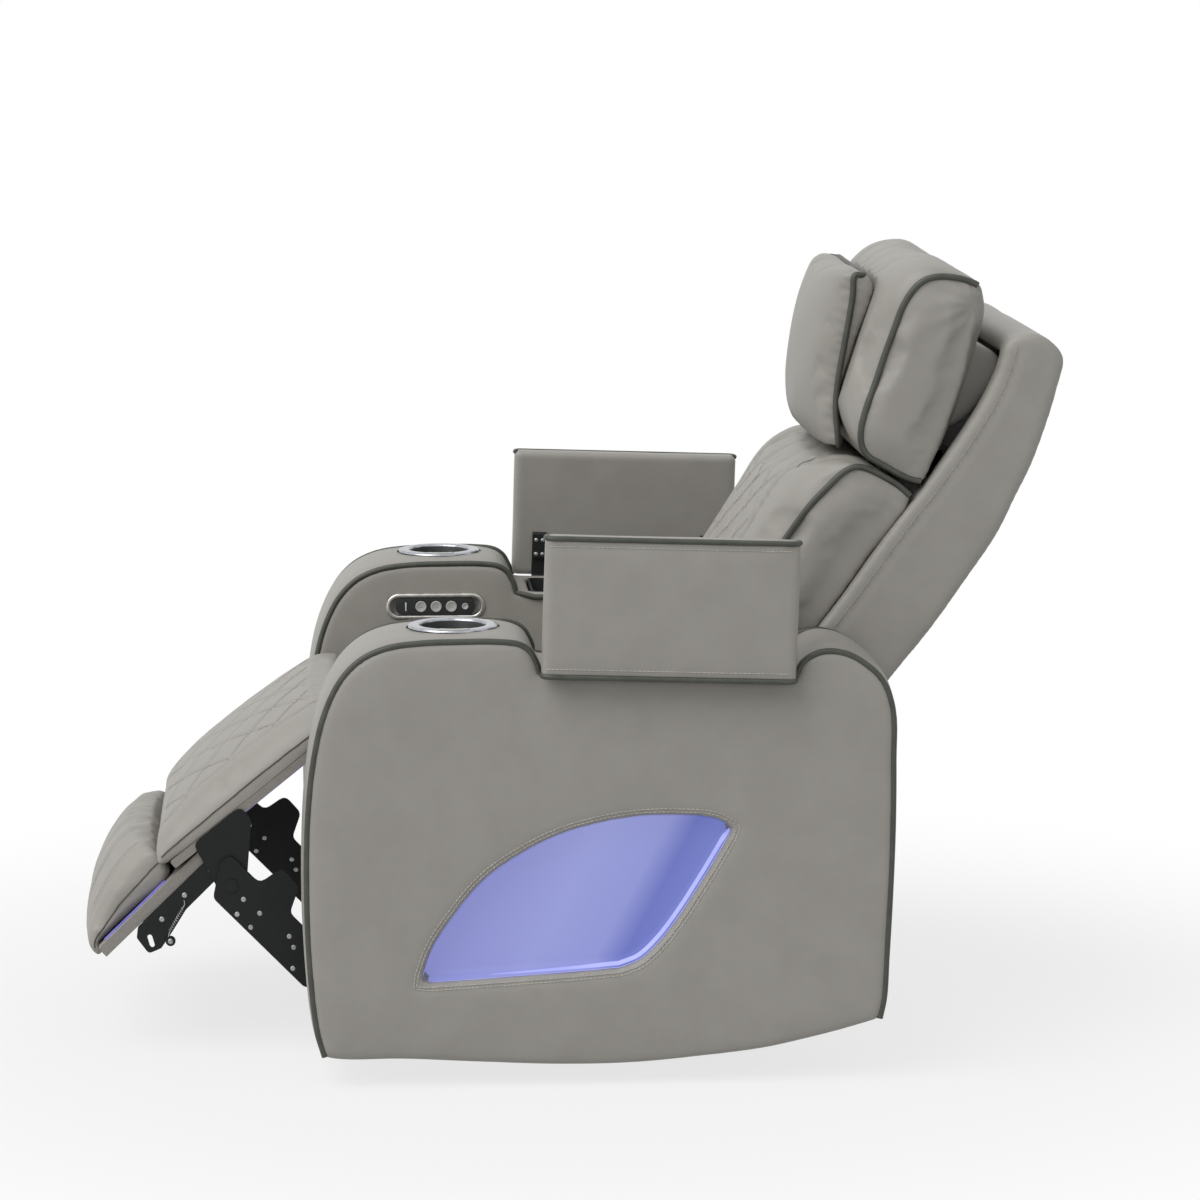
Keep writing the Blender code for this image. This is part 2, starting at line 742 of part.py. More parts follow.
def hinge_starts():
    """Where the two hinges of a lid begin along the deck."""
    first, last = lid_ends()
    return first + HINGE_INSET, last - HINGE_INSET - HINGE_WIDTH


def lid_inner_x():
    """Outboard distance from the pivot line to the open lid's inner face."""
    return LID_FLOOR_GAP + LID_PIVOT_DROP


def hinge_notch(side, number, start):
    pivot_x = CHAIR_WIDTH / 2 - LID_PIVOT_INSET
    reach = HINGE_BARREL_RADIUS + 0.0005
    low_x, high_x = span(side, pivot_x - reach - 0.0005, CHAIR_WIDTH / 2 + 0.01)
    return deck_box("hinge_notch_%s_%d" % (side_name(side), number),
                    (low_x, start - 0.0006, -LID_PIVOT_DROP - reach),
                    (high_x, start + HINGE_WIDTH + 0.0006, 0.02), zinc())


def control_pocket():
    height = PAD_PLATE[1] - 0.006
    length = PAD_PLATE[0] - 0.010
    outline = pad_outline((length, height))
    low_x, high_x = -INNER_FACE_X - PAD_POCKET_DEPTH, -INNER_FACE_X + 0.01
    return prism("control_pocket", outline, low_x, high_x, zinc())


def arm(side):
    body = arm_body(side)
    boolean(body, bin_pocket(side))
    boolean(body, cup_pocket(side))
    low_x, high_x = span(side, CHAIR_WIDTH / 2 - LEAF_DEPTH, CHAIR_WIDTH / 2 + 0.02)
    boolean(body, prism("leaf_" + side_name(side), leaf_outline(), low_x, high_x, zinc()))
    for number, start in enumerate(hinge_starts()):
        boolean(body, hinge_notch(side, number, start))
    if side < 0:
        boolean(body, control_pocket())
    return body


def light_panel(side):
    outline = leaf_outline()
    outline = moved_out(outline, [-LEAF_PANEL_GAP] * len(outline))
    floor_x = CHAIR_WIDTH / 2 - LEAF_DEPTH + SEAM_GAP
    low_x, high_x = span(side, floor_x, floor_x + LEAF_PANEL_THICKNESS)
    return prism("light_panel_" + side_name(side), outline, low_x, high_x, light_lens())


def lid(side):
    """A padded lid, standing open outside the arm; its pivot line lies in the arm's top edge."""
    pivot_x = CHAIR_WIDTH / 2 - LID_PIVOT_INSET
    inner_x = pivot_x + lid_inner_x()
    first, last = lid_ends()
    low_x, high_x = span(side, inner_x, inner_x + LID_THICKNESS)
    bottom = -LID_PIVOT_DROP + LID_HEEL_GAP
    height = pivot_x - LID_INNER_EDGE_X - LID_HEEL_GAP
    return deck_box("lid_" + side_name(side), (low_x, first, bottom), (high_x, last, bottom + height),
                    leather(), LID_ROUND)


def lid_hinges(side):
    """Two hinges: a block screwed to the lid, a flat strap and a rolled knuckle on the pivot."""
    outer = lid_inner_x() - SEAM_GAP
    strap = outer - HINGE_STRAP
    r = HINGE_BARREL_RADIUS
    low, high = HINGE_PLATE_RISE
    profile = [(outer, high), (outer, 0.0)]
    profile += ellipse((0, 0), (r, r), -30, -270, 7)
    profile += [(strap, r + 0.001), (strap, low), (outer - HINGE_PLATE_DEPTH, low),
                (outer - HINGE_PLATE_DEPTH, high - 0.003), (outer - HINGE_PLATE_DEPTH + 0.003, high)]
    pivot_x = CHAIR_WIDTH / 2 - LID_PIVOT_INSET
    hinges = []
    for place, start in zip(("front", "rear"), hinge_starts()):
        bm = bmesh.new()
        loft(bm, [[(side * (pivot_x + a), y, b - LID_PIVOT_DROP) for a, b in profile]
                  for y in (start, start + HINGE_WIDTH)])
        bm.transform(deck_matrix())
        hinges.append(finish(bm, "lid_hinge_%s_%s" % (place, side_name(side)), black_steel()))
    return hinges


# Control pad

def pad_outline(size, centre=PAD_CENTRE, steps=8):
    """A stadium seen from the side."""
    length, height = size
    half = (length - height) / 2
    return capsule((centre[0] - half, centre[1]), (centre[0] + half, centre[1]), height / 2, steps)


def pad_face_x():
    """The control plate's front face."""
    return -INNER_FACE_X + SEAM_GAP + PAD_PLATE_THICKNESS


def control_bezel():
    low = -INNER_FACE_X + SEAM_GAP
    bezel = prism("control_bezel", pad_outline(PAD_BEZEL), low, low + PAD_BEZEL_THICKNESS,
                  satin_silver())
    opening = (PAD_PLATE[0] + 2 * SEAM_GAP, PAD_PLATE[1] + 2 * SEAM_GAP)
    cutter = prism("bezel_opening", pad_outline(opening), low - 0.01, low + 0.02, zinc())
    boolean(bezel, cutter)
    bezel.modifiers.new("edge", "BEVEL").width = 0.0012
    bezel.modifiers["edge"].segments = 1
    bezel.modifiers["edge"].limit_method = "ANGLE"
    return bezel


def button_places():
    """Name, offset along the pad, radius."""
    names = ("front", "middle", "rear")
    places = [("control_button_" + n, o, BUTTON_RADIUS) for n, o in zip(names, BUTTON_OFFSETS)]
    return places + [("control_light_button", SMALL_BUTTON_OFFSET, SMALL_BUTTON_RADIUS)]


def control_plate():
    low = -INNER_FACE_X + SEAM_GAP
    plate = prism("control_plate", pad_outline(PAD_PLATE), low, pad_face_x(), black_plastic())
    for name, offset, radius in button_places():
        centre = (PAD_CENTRE[0] + offset, PAD_CENTRE[1])
        drill(plate, name, centre, radius + BUTTON_GAP, low - 0.01, low + 0.02, 16)
    y = PAD_CENTRE[0] + INDICATOR_OFFSET
    half_wide, half_high = INDICATOR_SIZE[0] / 2, INDICATOR_SIZE[1] / 2
    slot = box("indicator_slot", (pad_face_x() - 0.0012, y - half_wide, PAD_CENTRE[1] - half_high),
               (pad_face_x() + 0.01, y + half_wide, PAD_CENTRE[1] + half_high), zinc())
    return boolean(plate, slot)


def control_buttons():
    top = pad_face_x() + BUTTON_RISE
    return [rod(name, (0, PAD_CENTRE[0] + offset, PAD_CENTRE[1]), "X", radius, top - BUTTON_LENGTH, top,
                button_grey(), 16) for name, offset, radius in button_places()]


# Base

def base_rail(side):
    """A floor rail with two round glides under it."""
    name = "base_rail_" + side_name(side)
    outer = plate_layer(0)[0] - SEAM_GAP
    low_x, high_x = span(side, outer - RAIL_WIDTH, outer)
    rail = box(name, (low_x, RAIL_FRONT_Y, RAIL_LOW_Z), (high_x, RAIL_REAR_Y, RAIL_LOW_Z + RAIL_HEIGHT),
               black_steel(), 0.003)
    middle = side * (outer - RAIL_WIDTH / 2)
    return join(rail, [rod("%s_glide_%d" % (name, number), (middle, y, 0), "Z", GLIDE_RADIUS, 0,
                           RAIL_LOW_Z + 0.004, black_steel(), 16) for number, y in enumerate(GLIDE_Y)])


def rail_inner_x():
    return plate_layer(0)[0] - 2 * SEAM_GAP - RAIL_WIDTH


def tube_low_z():
    return RAIL_LOW_Z + (RAIL_HEIGHT - CROSS_TUBE) / 2


def cross_tube(name, y):
    half = rail_inner_x()
    return box(name, (-half, y - CROSS_TUBE / 2, tube_low_z()),
               (half, y + CROSS_TUBE / 2, tube_low_z() + CROSS_TUBE), black_steel(), 0.002)


def side_plate(side):
    """The fixed plate of the mechanism: it joins the base rail, the seat rails, the torque tube
    and the back pivot."""
    low_x, high_x = plate_layer(0, side)
    rail_foot = RAIL_LOW_Z + 0.003
    beam_top = FRONT_RAIL[1][1]
    py, pz = CRANK_PIVOT
    by, bz = BACK_PIVOT
    corners = [(py - 0.040, rail_foot), (py + 0.010, rail_foot), (py + 0.040, pz - 0.085),
               (by - 0.090, pz - 0.075), (by - 0.075, rail_foot), (by - 0.025, rail_foot),
               (by + 0.020, pz - 0.040), (by + 0.032, bz - 0.010), (by + 0.014, bz + 0.028),
               (by - 0.018, bz + 0.026), (by - 0.050, beam_top), (FRONT_RAIL[0][0], beam_top),
               (FRONT_RAIL[0][0], pz - 0.030), (py - 0.034, pz - 0.055)]
    name = "side_plate_" + side_name(side)
    plate = prism(name, rounded(corners, 0.014), low_x, high_x, black_steel())
    reach = (low_x - 0.01, high_x + 0.01)
    drill(plate, name + "_tube", CRANK_PIVOT, TORQUE_TUBE_RADIUS + 2 * RIVET_GAP, *reach, 16)
    drill(plate, name + "_back", BACK_PIVOT, BACK_PIN_RADIUS + RIVET_GAP, *reach)
    return plate


def seat_rail(name, corners):
    (y0, z0), (y1, z1) = corners
    half = plate_layer(0)[0] - SEAM_GAP
    return box(name, (-half, y0, z0), (half, y1, z1), plywood(), 0.002)


def spring_z():
    return FRONT_RAIL[1][1] + SEAM_GAP + SPRING_ROD_RADIUS


def seat_springs():
    """Sinuous springs from the front seat rail to the rear one, tied at both ends by a rod that
    lies on the rail."""
    start, end = FRONT_RAIL[0][0] + 0.012, REAR_RAIL[1][0] - 0.012
    points_each = 4 * SPRING_LOOPS
    half = SPRING_PITCH * SPRING_COUNT / 2
    rods = [rod("spring_rod_%d" % k, (0, y, spring_z()), "X", SPRING_ROD_RADIUS, -half, half, zinc(), 10)
            for k, y in enumerate((start, end))]
    rods[0].name = "seat_springs"
    wires = [rods[1]]
    for k in range(SPRING_COUNT):
        centre = (k - (SPRING_COUNT - 1) / 2) * SPRING_PITCH
        path = []
        for i in range(points_each + 1):
            t = i / points_each
            path.append(Vector((centre + SPRING_SWING * math.sin(math.pi * SPRING_LOOPS * t),
                                start + (end - start) * t, spring_z())))
        bm = bmesh.new()
        add_wire(bm, path, SPRING_WIRE_RADIUS)
        wires.append(finish(bm, "spring_wire_%d" % k, zinc(), 80))
    return join(rods[0], wires)


def add_wire(bm, path, radius, sides=4):
    """A round wire along a path that never runs straight up."""
    rings = []
    for i, point in enumerate(path):
        ahead = (path[min(i + 1, len(path) - 1)] - path[max(i - 1, 0)]).normalized()
        across = ahead.cross(Vector((0, 0, 1))).normalized()
        up = across.cross(ahead)
        rings.append([point + radius * (math.cos(2 * math.pi * k / sides) * across
                                        + math.sin(2 * math.pi * k / sides) * up)
                      for k in range(sides)])
    loft(bm, rings)


def seat_cushion():
    front, rear = SEAT_FRONT_Y, SEAT_REAR_Y
    third, middle = front + (rear - front) * 0.30, front + (rear - front) * 0.61
    bottom = spring_z() + SPRING_ROD_RADIUS + SEAM_GAP
    top, back_top = SEAT_FRONT_TOP_Z, SEAT_REAR_TOP_Z
    side = [(front + 0.006, bottom), (front + 0.002, top - 0.075), (front + 0.003, top - 0.032),
            (front + 0.022, top - 0.020), (third, top - 0.024), (middle, top - 0.036),
            (rear - 0.060, back_top - 0.014), (rear - 0.012, back_top - 0.020),
            (rear - 0.003, back_top - 0.040), (rear - 0.006, bottom)]
    centre = [(front + 0.006, bottom), (front, top - 0.075), (front + 0.003, top - 0.022),
              (front + 0.026, top), (third, top - 0.002), (middle, top - 0.014),
              (rear - 0.060, back_top), (rear - 0.012, back_top - 0.006),
              (rear, back_top - 0.030), (rear - 0.006, bottom)]
    return cushion("seat_cushion", side, centre, SEAT_HALF, leather())


# Footrest linkage

def crank(side):
    name = "crank_" + side_name(side)
    low_x, high_x = plate_layer(1, side)
    plate = prism(name, capsule(CRANK_PIVOT, KNEE_PIVOT, CRANK_WIDTH / 2, 8), low_x, high_x,
                  black_steel())
    reach = (low_x - 0.01, high_x + 0.01)
    drill(plate, name + "_tube", CRANK_PIVOT, TORQUE_TUBE_RADIUS + RIVET_GAP, *reach, 16)
    drill(plate, name + "_knee", KNEE_PIVOT, RIVET_RADIUS + RIVET_GAP, *reach)
    return plate


def torque_tube():
    """The tube that turns both cranks, with the slotted lug that the footrest nut drives."""
    half = plate_layer(0)[1] - SEAM_GAP
    tube = rod("torque_tube", (0, *CRANK_PIVOT), "X", TORQUE_TUBE_RADIUS, -half, half, black_steel(), 16)
    pin_y, pin_z = CRANK_PIVOT[0], foot_pin_z()
    drop = CRANK_PIVOT[1] - pin_z
    tip = (pin_y, CRANK_PIVOT[1] - drop / math.cos(FOOT_LUG_SWING) - LUG_END_MARGIN)
    low_x = FOOT_ACTUATOR_X + NUT_SIZE[0] / 2 + LUG_GAP
    lug = prism("foot_lug", capsule(CRANK_PIVOT, tip, 0.0145, 6), low_x, low_x + PLATE, zinc())
    join(tube, [lug])
    slot = capsule((pin_y, pin_z + 0.001), (pin_y, tip[1] + LUG_END_MARGIN), FOOT_SLOT_HALF, 4)
    return boolean(tube, prism("foot_slot", slot, low_x - 0.01, low_x + 0.02, zinc()))


def rivet(name, centre, side, inner_layer, outer_layer, head=0.0005, head_radius=0.0095):
    """A pivot from the inner face of one plate to a low head on the outer face of another."""
    inner_x = abs(plate_layer(inner_layer)[0])
    outer_x = abs(plate_layer(outer_layer)[1])
    shank_x = span(side, inner_x + 0.0005, outer_x + head)
    shank = rod(name + "_shank", (0, *centre), "X", RIVET_RADIUS, *shank_x, zinc())
    head_x = span(side, outer_x + SEAM_GAP / 3, outer_x + head)
    return [shank, rod(name + "_head", (0, *centre), "X", head_radius, *head_x, zinc(), 16)]


def link_points(points):
    """(run from the knee towards the leg rest's pivot, rise to the front) as (Y, Z)."""
    ahead = (Vector(LEG_PIVOT) - Vector(KNEE_PIVOT)).normalized()
    return framed(KNEE_PIVOT, (ahead.x, ahead.y), points)


def lift_link(side):
    """A wide band with a lobe on its rear edge and rounded stops on its front edge."""
    name = "lift_link_" + side_name(side)
    low_x, high_x = plate_layer(2, side)
    length = (Vector(LEG_PIVOT) - Vector(KNEE_PIVOT)).length
    half = LINK_WIDTH / 2
    corners = [(length + 0.005, half), (-0.014, half), (-0.032, 0.008), (-0.028, -0.020),
               (-0.008, -half), (length * 0.47, -half), (length * 0.58, -half - 0.036),
               (length * 0.80, -half - 0.038), (length * 0.84, -half), (length + 0.032, -half),
               (length + 0.034, -0.012)]
    plate = prism(name, rounded(link_points(corners), 0.012), low_x, high_x, black_steel())
    reach = (low_x - 0.01, high_x + 0.01)
    drill(plate, name + "_leg", LEG_PIVOT, RIVET_RADIUS + RIVET_GAP, *reach)
    return join(plate, rivet(name + "_knee", KNEE_PIVOT, side, 2, 1, 0.0005))


def legrest_bracket(side):
    """The plate under the leg rest that carries it on the lift link and carries the flipper."""
    name = "legrest_bracket_" + side_name(side)
    low_x, high_x = plate_layer(3, side)
    top = LEG_BOARD_THICKNESS - SEAM_GAP
    offset = Vector(LEG_PIVOT) - Vector(LEG_ORIGIN)
    run = Vector((-math.cos(LEG_PITCH), -math.sin(LEG_PITCH)))
    rise = Vector((-math.sin(LEG_PITCH), math.cos(LEG_PITCH)))
    pe, ph = offset.dot(run), offset.dot(rise)
    corners = [(FLIPPER_HINGE_RUN - 0.064, top), (FLIPPER_HINGE_RUN + 0.022, top), (pe + 0.018, ph + 0.006),
               (pe + 0.010, ph - 0.018), (pe - 0.014, ph - 0.017), (FLIPPER_HINGE_RUN - 0.062, -0.014)]
    plate = prism(name, rounded(leg_points(corners), 0.012), low_x, high_x, black_steel())
    pieces = rivet(name + "_leg", LEG_PIVOT, side, 3, 2, 0.0018)
    pin_x = span(side, plate_layer(4)[0], plate_layer(3)[1] - 0.0005)
    pieces.append(rod(name + "_pin", (0, *FLIPPER_HINGE), "X", FLIPPER_PIN_RADIUS, *pin_x, zinc()))
    return join(plate, pieces)


def legrest_board():
    half = plate_layer(3)[0] - SEAM_GAP
    corners = [(0.0, 0.0), (LEG_LENGTH - 0.004, 0.0), (LEG_LENGTH - 0.004, LEG_BOARD_THICKNESS),
               (0.0, LEG_BOARD_THICKNESS)]
    return prism("legrest_board", rounded(leg_points(corners), 0.003, 3), -half, half, backing())


def legrest_pad():
    """The leg rest's padding: a low boxed edge under a crowned top."""
    base, seam, crown = LEG_BOARD_THICKNESS + SEAM_GAP, LEG_SEAM_RISE, LEG_CROWN_RISE
    end = LEG_LENGTH
    side = [(0.004, base), (-0.004, seam - 0.010), (0.002, seam), (0.050, seam + 0.003),
            (0.110, seam + 0.004), (0.180, seam + 0.004), (0.249, seam + 0.003), (end - 0.012, seam),
            (end - 0.002, seam - 0.010), (end - 0.006, base)]
    centre = [(0.004, base), (-0.016, seam + 0.004), (0.004, crown - 0.022), (0.052, crown - 0.009),
              (0.116, crown), (0.180, crown - 0.001), (0.249, crown - 0.006), (end - 0.013, crown - 0.026),
              (end, seam - 0.003), (end - 0.006, base)]
    return cushion("legrest_pad", leg_points(above(side, base)), leg_points(above(centre, base)), LEG_HALF,
                   leather())


def flipper_board():
    """A board whose upper edge is rounded about the hinge."""
    half = plate_layer(4)[0] - SEAM_GAP
    thick = FLIPPER_BOARD_HALF_THICKNESS
    nose = ellipse((0.0, 0.0), (thick, thick), 90, 270, 8)
    corners = nose + [(FLIPPER_BOARD_LENGTH, -thick), (FLIPPER_BOARD_LENGTH, thick)]
    return prism("flipper_board", flipper_points(corners), -half, half, backing())


def flipper_pad():
    base = FLIPPER_BOARD_HALF_THICKNESS + SEAM_GAP
    start, side_end, end = FLIPPER_PAD_START, FLIPPER_PAD_SIDE_END, FLIPPER_PAD_END
    side = [(start, base), (start - 0.003, 0.026), (start - 0.002, 0.042), (start + 0.026, 0.042),
            (start + 0.054, 0.0386), (start + 0.090, 0.036), (start + 0.119, 0.0326),
            (side_end - 0.004, 0.0212), (side_end, 0.014), (side_end - 0.006, base)]
    centre = [(start, base), (start - 0.003, 0.034), (start + 0.006, 0.060), (start + 0.035, 0.068),
              (start + 0.075, 0.068), (start + 0.115, 0.062), (start + 0.143, 0.052),
              (end - 0.006, 0.028), (end, 0.014), (end - 0.016, base)]
    return cushion("flipper_pad", flipper_points(above(side, base)), flipper_points(above(centre, base)),
                   FLIPPER_PAD_HALF, leather())


def flipper_arm(side):
    """The flipper's side plate: it hangs under the board, deepest at its lobe, which carries a
    round bumper."""
    name = "flipper_arm_" + side_name(side)
    low_x, high_x = plate_layer(4, side)
    thick = FLIPPER_BOARD_HALF_THICKNESS
    outline = ellipse((0.0, 0.0), (thick, thick), 60, 230, 8)
    outline += rounded([(0.004, -0.030), (0.010, -0.037), (0.094, -0.038), (0.130, -0.047),
                        (0.158, -0.053), (0.176, -0.046), (0.172, -0.018), (0.160, -thick - SEAM_GAP),
                        (0.014, -thick - SEAM_GAP)], 0.006, 3)
    plate = prism(name, flipper_points(outline), low_x, high_x, black_steel())
    flange_x = span(side, plate_layer(4)[0] - 0.022, plate_layer(4)[0] + 0.001)
    flange = flipper_points([(0.020, -thick - SEAM_GAP), (0.150, -thick - SEAM_GAP),
                             (0.150, -thick - 0.003), (0.020, -thick - 0.003)])
    join(plate, [prism(name + "_flange", flange, *flange_x, black_steel())])
    reach = (low_x - 0.01, high_x + 0.01)
    drill(plate, name + "_hinge", FLIPPER_HINGE, FLIPPER_PIN_RADIUS + RIVET_GAP, *reach)
    bumper_x = span(side, plate_layer(4)[1] - 0.001, plate_layer(4)[1] + BUMPER_WIDTH)
    join(plate, [rod(name + "_bumper", (0, *flipper_points([BUMPER_AT])[0]), "X", BUMPER_RADIUS, *bumper_x,
                     rubber(), 18)])
    slot = capsule(*flipper_points([(0.158, -0.030), (0.164, -0.041)]), 0.0035, 4)
    return boolean(plate, prism(name + "_slot", slot, *reach, zinc()))


def helix_point(turn, ends, radius, curls):
    """A point of a coil whose axis runs between two side-view points, on the arm's outer face."""
    start, end = (Vector((0.0, *p)) for p in ends)
    along = (end - start).normalized()
    across = along.cross(Vector((1, 0, 0)))
    angle = 2 * math.pi * turn
    return (start + (end - start) * (turn / curls) + radius * math.cos(angle) * across
            + Vector((radius * math.sin(angle), 0, 0)))


def flipper_spring(side):
    """The tension spring on a flipper arm."""
    ends = flipper_points(COIL_ENDS)
    centre_x = plate_layer(4)[1] + SEAM_GAP + COIL_RADIUS + COIL_WIRE_RADIUS
    path = [helix_point(i / COIL_POINTS, ends, COIL_RADIUS, COIL_CURLS) + Vector((centre_x, 0, 0))
            for i in range(COIL_CURLS * COIL_POINTS + 1)]
    gap = min((path[i] - path[j]).length for i in range(len(path))
              for j in range(i + COIL_POINTS // 2, len(path)))
    print("flipper spring, least gap to itself: %.2f mm" % ((gap - 2 * COIL_WIRE_RADIUS) * 1000))
    bm = bmesh.new()
    add_coil(bm, [Vector((side * p.x, p.y, p.z)) for p in path], COIL_WIRE_RADIUS)
    return finish(bm, "flipper_spring_" + side_name(side), zinc(), 80)


def add_coil(bm, path, radius, sides=6):
    """A round wire along a path of any direction, without twist."""
    rings = []
    across = None
    for i, point in enumerate(path):
        ahead = (path[min(i + 1, len(path) - 1)] - path[max(i - 1, 0)]).normalized()
        if across is None:
            across = ahead.cross(Vector((1, 0, 0))).normalized()
        across = (across - ahead * across.dot(ahead)).normalized()
        up = across.cross(ahead)
        rings.append([point + radius * (math.cos(2 * math.pi * k / sides) * across
                                        + math.sin(2 * math.pi * k / sides) * up)
                      for k in range(sides)])
    loft(bm, rings)


# Back

SHELL_FRONT_POINTS = ((0.7521, 0.0462), (0.7301, 0.0309), (0.692, 0.0425), (0.648, 0.0508),
                      (0.5956, 0.054), (0.5002, 0.0527), (0.4437, 0.0489), (0.3861, 0.0471),
                      (0.3141, 0.0455), (0.2496, 0.0424), (-0.022, SHELL_FRONT))
SHELL_REAR_POINTS = ((-0.030, SHELL_FRONT + 0.010), (-0.030, 0.136), (-0.018, 0.148), (0.100, 0.160),
                     (0.2467, 0.1692), (0.3247, 0.1752), (0.4196, 0.1775), (0.495, 0.1761),
                     (0.5565, 0.1668), (0.603, 0.1604), (0.6605, 0.1452), (0.7158, 0.1268),
                     (0.7549, 0.1097), (BACK_HEIGHT, 0.092), (BACK_HEIGHT, 0.064))


def shell_half():
    return plate_layer(1)[0] - SEAM_GAP


def shell_front(height):
    """Depth of the shell's front face at a height along the back."""
    points = SHELL_FRONT_POINTS[::-1]
    for (s0, t0), (s1, t1) in zip(points, points[1:]):
        if height <= s1:
            return t0 + (t1 - t0) * max(0.0, height - s0) / (s1 - s0)
    return points[-1][1]


def back_shell():
    """The outer back: a deep padded shell with rounded side edges and an open pocket behind the
    headrest."""
    outline = back_points(SHELL_FRONT_POINTS + SHELL_REAR_POINTS)
    half = shell_half()
    rings = []
    for x, inset in ((half, 0.010), (half - 0.003, 0.003), (half - 0.010, 0.0)):
        rings.append([(x, y, z) for y, z in moved_out(outline, [-inset] * len(outline))])
    rings += [[(-x, y, z) for x, y, z in ring] for ring in rings[::-1]]
    bm = bmesh.new()
    loft(bm, rings)
    shell = finish(bm, "back_shell", leather(), 40)
    (s0, t0), (s1, t1) = SHELL_POCKET
    pocket = rounded([(s0, t0), (s0, t1), (s1, t1 - POCKET_TAPER), (s1, t0)], 0.006, 2)
    cutter = prism("shell_pocket", back_points(pocket), -SHELL_POCKET_HALF, SHELL_POCKET_HALF, zinc())
    return boolean(shell, cutter)


def before_shell(points):
    """Keeps cushion points just in front of the shell."""
    return [(s, min(t, shell_front(s) - SEAM_GAP)) for s, t in points]


def back_cushion():
    top, seam = CUSHION_HEIGHT, -CUSHION_SEAM_FRONT
    rear = SHELL_FRONT - 0.005
    side = [(top - 0.006, rear), (top, 0.0), (top - 0.004, -0.034), (top - 0.022, seam + 0.018),
            (top - 0.057, seam + 0.009), (top - 0.097, seam + 0.002), (0.335, seam), (0.250, seam),
            (0.150, seam), (0.060, seam + 0.002), (0.0, seam + 0.008), (-0.045, -0.045),
            (-0.064, -0.010), (-0.058, 0.026), (-0.030, rear), (0.100, rear), (0.250, rear),
            (0.380, rear)]
    crown = seam - CUSHION_CROWN
    centre = [(top - 0.020, 0.048), (top - 0.028, 0.0), (top - 0.034, -0.045), (top - 0.041, crown + 0.014),
              (top - 0.060, crown + 0.001), (top - 0.099, crown - 0.008), (0.335, crown - 0.006),
              (0.250, crown - 0.003), (0.150, crown - 0.003), (0.072, crown), (0.040, -0.080),
              (-0.040, -0.062), (-0.070, -0.020), (-0.066, 0.026), (-0.030, 0.048), (0.100, 0.048),
              (0.250, 0.048), (0.380, 0.050)]
    side = back_points(before_shell(smooth_closed(side, 2)))
    centre = back_points(before_shell(smooth_closed(centre, 2)))
    return cushion("back_cushion", side, centre, CUSHION_HALF, leather(), channel=(BACK_CHANNEL_X, 0.14))


def back_frame():
    """The back's steel frame: a plate on each side of the shell with the pin that turns in the
    side plate, a cross tube under the shell, and the slotted blade that the recline nut pushes."""
    tube_s, tube_t = BACK_TUBE_AT
    corners = [(-0.022, -0.020), (0.020, -0.020), (0.150, 0.052), (0.150, 0.088), (0.060, 0.100),
               (tube_s - 0.014, tube_t + 0.014), (tube_s - 0.016, tube_t - 0.012)]
    outline = rounded(back_points(corners), 0.014)
    frame = prism("back_frame", outline, *plate_layer(1, 1), black_steel())
    half = plate_layer(1)[0] + 0.001
    tube = rod("back_tube", (0, *back_points([BACK_TUBE_AT])[0]), "X", BACK_TUBE_RADIUS, -half, half,
               black_steel(), 16)
    pieces = [tube, prism("back_plate_right", outline, *plate_layer(1, -1), black_steel())]
    for side in (1, -1):
        pin_x = span(side, plate_layer(1)[0] + 0.001, plate_layer(0)[1] - SEAM_GAP)
        pieces.append(rod("back_pin_" + side_name(side), (0, *BACK_PIVOT), "X", BACK_PIN_RADIUS, *pin_x,
                          zinc()))
    return add_back_lug(join(frame, pieces))


def add_back_lug(frame):
    low_x = BACK_ACTUATOR_X + NUT_SIZE[0] / 2 + LUG_GAP
    drop = BACK_PIVOT[1] - back_pin_z()
    reach = drop / math.cos(BACK_LUG_SWING)
    by, bz = BACK_PIVOT
    ty, tz = back_points([BACK_TUBE_AT])[0]
    r = BACK_TUBE_RADIUS
    corners = [(ty - 0.004, tz + r * 0.7), (ty + r * 0.8, tz + r * 0.3), (by + 0.056, bz - drop * 0.85),
               (by + 0.024, bz - reach - 0.016), (by - 0.012, bz - reach - 0.016),
               (by - 0.014, bz - drop * 0.93), (by + 0.014, bz - drop * 0.62)]
    lug = prism("back_lug", rounded(corners, [0.001, 0.001, 0.02, 0.01, 0.01, 0.01, 0.02]), low_x,
                low_x + PLATE, zinc())
    join(frame, [lug])
    ends = [(by + radius * math.sin(BACK_LUG_REST), bz - radius * math.cos(BACK_LUG_REST))
            for radius in (drop - 0.001, reach + 0.001)]
    slot = capsule(ends[0], ends[1], BACK_SLOT_HALF, 5)
    return boolean(frame, prism("back_slot", slot, low_x - 0.01, low_x + 0.02, zinc()))


# Headrest

def head_rear(run):
    """Depth of the line behind the headrest's padding at a height on it."""
    (u0, w0), (u1, w1) = HEAD_REAR_LINE
    return w0 + (w1 - w0) * (run - u0) / (u1 - u0)


